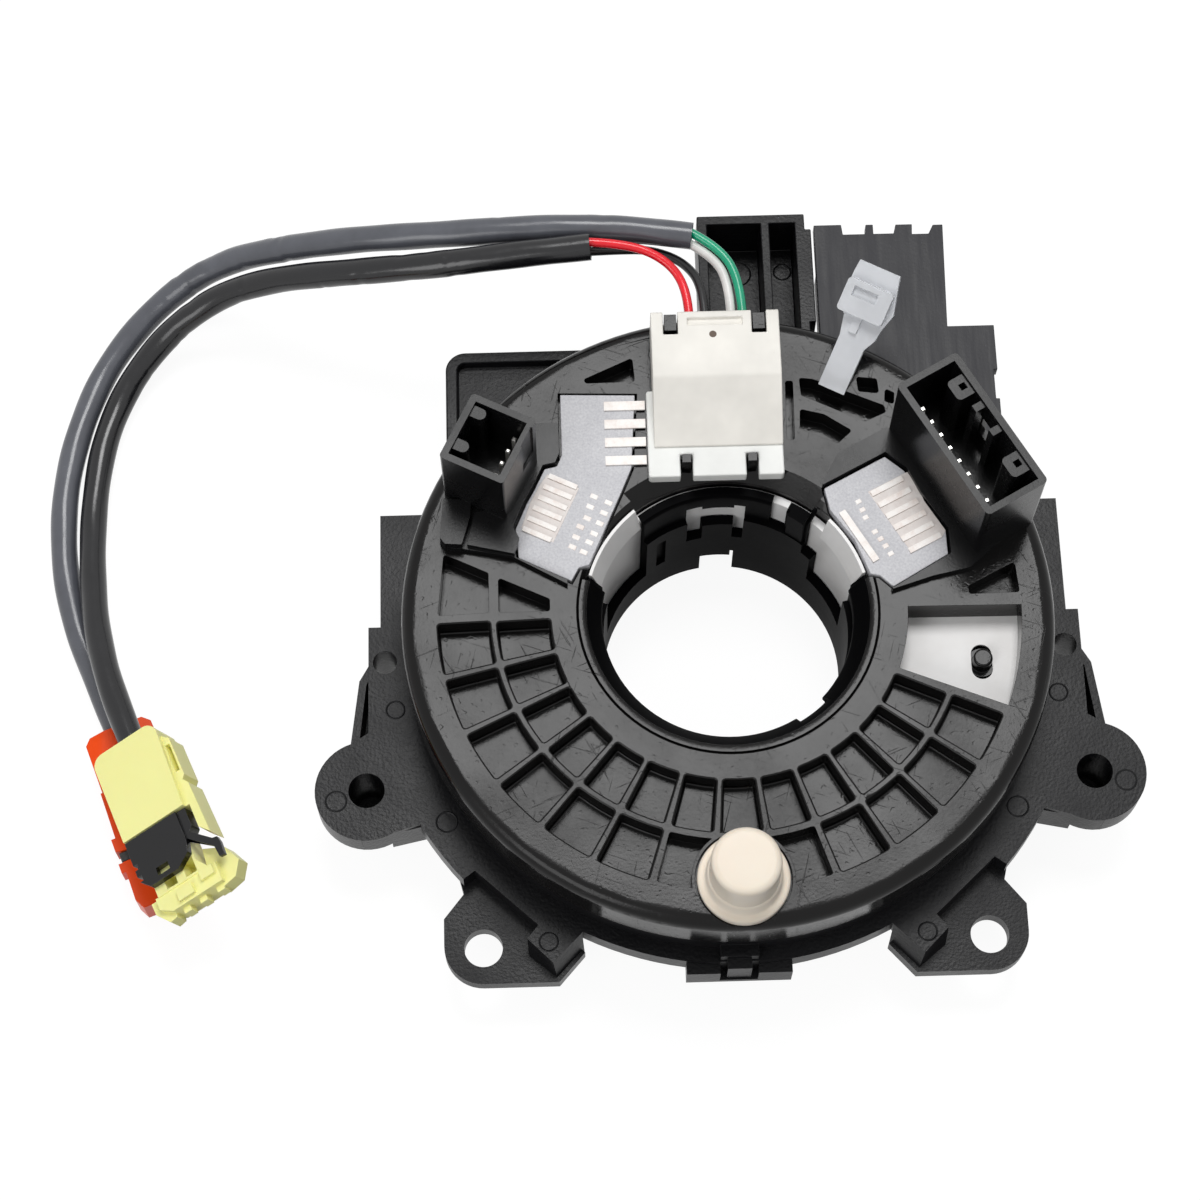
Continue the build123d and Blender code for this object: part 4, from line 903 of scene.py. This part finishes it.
# Stopper pin: soft round cap on a stepped flange, over a short stem
PIN = (0.4, -42.5)
STEM_RADIUS = 3.0
FLANGE_RADIUS = 6.9
FLANGE_UNDERSIDE = 29.2
FLANGE_TOP = 30.8
CAP_RADIUS = 5.2
CAP_TOP = 40.0
pin_profile = [(2.4, 25.3), (STEM_RADIUS, 25.9)]
pin_profile += [(STEM_RADIUS, FLANGE_UNDERSIDE), (FLANGE_RADIUS, FLANGE_UNDERSIDE)]
pin_profile += rounded_corner(FLANGE_RADIUS, FLANGE_TOP, 0.6)
pin_profile += [(6.0, 30.85), (5.75, 31.1), (5.6, 32.8), (5.45, 33.1), (5.25, 33.3), (5.22, 36.0)]
pin_profile += rounded_corner(CAP_RADIUS, CAP_TOP, 1.1, 8)
pin_profile += [(2.0, CAP_TOP)]
turned("stopper_pin_shape", pin_profile, "stopper", "pin", PIN, ring=False, replaced=("stopper_pin",))

# Frosted infill of the clip's buckle, placed in the leaning clip's own directions
CLIP_FOOT = Vector((18.4, 37.5, 30))
CLIP_TURN = math.radians(-28)
CLIP_LEAN = math.radians(60)
INFILL_CENTRE = (-0.9, 14.6, 0.6)
INFILL_SIZE = (4.02, 1.62, 2.2)


def clip_infill():
    right = Vector((math.cos(CLIP_TURN), math.sin(CLIP_TURN), 0))
    level_back = Vector((-math.sin(CLIP_TURN), math.cos(CLIP_TURN), 0))
    back = level_back * math.sin(CLIP_LEAN) + Vector((0, 0, math.cos(CLIP_LEAN)))
    up = right.cross(back)
    shape = bmesh.new()
    bmesh.ops.create_cube(shape, size=1)
    for vert in shape.verts:
        x, y, z = (middle + c * size for middle, c, size in zip(INFILL_CENTRE, vert.co, INFILL_SIZE))
        vert.co = (CLIP_FOOT + right * x + back * y + up * z) * MM
    add_piece("clip_infill", mesh_of(shape, "clip_infill"), "rotor", "clip")


clip_infill()

# Narrow black feet inside the bosses of the big lugs: partly a guessed narrower bore, partly painted shade
# that keeps the holes dark
BIG_LUG = (56.2, -22.8)
SHADE_FOOT_RADII = (0.9, 2.9)
SHADE_FOOT_HEIGHTS = (1.1, 3.2)
SHADE_FOOT_PROFILE = [(SHADE_FOOT_RADII[i], SHADE_FOOT_HEIGHTS[j]) for i, j in ((0, 0), (1, 0), (1, 1), (0, 1))]
for side, tag in ((-1, "left"), (1, "right")):
    turned(tag + "_boss_shade_foot", SHADE_FOOT_PROFILE, "housing", "housing", (side * BIG_LUG[0], BIG_LUG[1]))

# Lip and funnel rim along the front of the bore, narrower at the notch
BORE_ARC = (166, 372)
NOTCH_ARC = (299.5, 316.5)
RIM_OVERLAP = 0.5
LIP = [(22.8, 30.03), (22.0, 30.02), (21.75, 29.9), (21.65, 29.7), (21.65, 29.3), (22.35, 29.3)]
RIM_TOP = [(21.7, 29.6), (21.3, 29.1)]
RIM = RIM_TOP + [(19.45, 26.9), (19.25, 26.4), (19.3, 25.6), (19.9, 25.4), (20.7, 26.2), (21.6, 28.2)]
NOTCH_RIM = RIM_TOP + [(20.35, 27.9), (20.25, 27.4), (20.25, 23.4), (20.75, 23.4), (21.6, 28.2)]
RIMS = (
    ("left", RIM, (BORE_ARC[0], NOTCH_ARC[0] + RIM_OVERLAP)),
    ("notch", NOTCH_RIM, NOTCH_ARC),
    ("right", RIM, (NOTCH_ARC[1] - RIM_OVERLAP, BORE_ARC[1])),
)
turned("bore_lip", LIP, "rotor", "rotor", arc=BORE_ARC)
for tag, rim, arc in RIMS:
    turned("bore_rim_" + tag, rim, "rotor", "sleeve_plastic", arc=arc)

# Plain dot on the lead cover
COVER_TOP = 37.4
DOT_PLACE = (-0.8, 43.0)
DOT_RADIUS = 0.58
DOT_RISE = 0.02
DOT_SIDES = 24
dot = circle_points(DOT_PLACE, DOT_RADIUS, DOT_SIDES)
raised("cover_dot", [dot], COVER_TOP, DOT_RISE, "rotor", "lead_cover", inset=DOT_RISE, look="dot")


# Studio: pale floor, even world, two soft lamps
LAMP_TARGET = Vector((0, 0, 0.02))


def lamp(name, place, size, power):
    """Oblong lamp in metres and watts, aimed at the part."""
    data = bpy.data.lights.new(name, "AREA")
    data.shape = "RECTANGLE"
    data.size, data.size_y = size
    data.energy = power
    obj = bpy.data.objects.new(name, data)
    scene.collection.objects.link(obj)
    obj.location = place
    obj.rotation_euler = (LAMP_TARGET - Vector(place)).to_track_quat("-Z", "Y").to_euler()


def pale_rays(tree):
    """One where the ray comes from the camera, a mirror or glass, else zero."""
    path = tree.nodes.new("ShaderNodeLightPath")
    total = path.outputs["Is Camera Ray"]
    for name in ("Is Glossy Ray", "Is Transmission Ray"):
        node = tree.nodes.new("ShaderNodeMath")
        node.operation = "MAXIMUM"
        tree.links.new(total, node.inputs[0])
        tree.links.new(path.outputs[name], node.inputs[1])
        total = node.outputs[0]
    return total


WORLD_LIGHT = 0.36
FLOOR_GLOW = 0.92
FLOOR_GREY = (0.14, 0.14, 0.14, 1)
FLOOR_REACH = 3
FLOOR_DROP = 0.0002
world = bpy.data.worlds.new("world")
scene.world = world
world.use_nodes = True
tree = world.node_tree
background = tree.nodes["Background"]
background.inputs["Color"].default_value = (1, 1, 1, 1)
strength = tree.nodes.new("ShaderNodeMapRange")
strength.inputs["To Min"].default_value = WORLD_LIGHT
strength.inputs["To Max"].default_value = 1.0
tree.links.new(pale_rays(tree), strength.inputs["Value"])
tree.links.new(strength.outputs["Result"], background.inputs["Strength"])

floor_mesh = bpy.data.meshes.new("floor")
corners = [(x * FLOOR_REACH, y * FLOOR_REACH, 0) for x, y in ((-1, -1), (1, -1), (1, 1), (-1, 1))]
floor_mesh.from_pydata(corners, [], [(0, 1, 2, 3)])
floor = bpy.data.objects.new("floor", floor_mesh)
scene.collection.objects.link(floor)
floor.location.z = -FLOOR_DROP
floor_look = bpy.data.materials.new("floor")
floor_look.use_nodes = True
tree = floor_look.node_tree
shader = tree.nodes["Principled BSDF"]
shader.inputs["Base Color"].default_value = FLOOR_GREY
shader.inputs["Roughness"].default_value = 0.9
shader.inputs["Specular IOR Level"].default_value = 0.0
shader.inputs["Emission Color"].default_value = (1, 1, 1, 1)
glow = tree.nodes.new("ShaderNodeMath")
glow.operation = "MULTIPLY"
glow.inputs[1].default_value = FLOOR_GLOW
tree.links.new(pale_rays(tree), glow.inputs[0])
tree.links.new(glow.outputs[0], shader.inputs["Emission Strength"])
floor_mesh.materials.append(floor_look)

lamp("back_softbox", (0.04, 0.36, 0.94), (0.42, 0.36), 4.9)
lamp("left_softbox", (-0.55, -0.6, 0.62), (0.5, 0.5), 2.7)
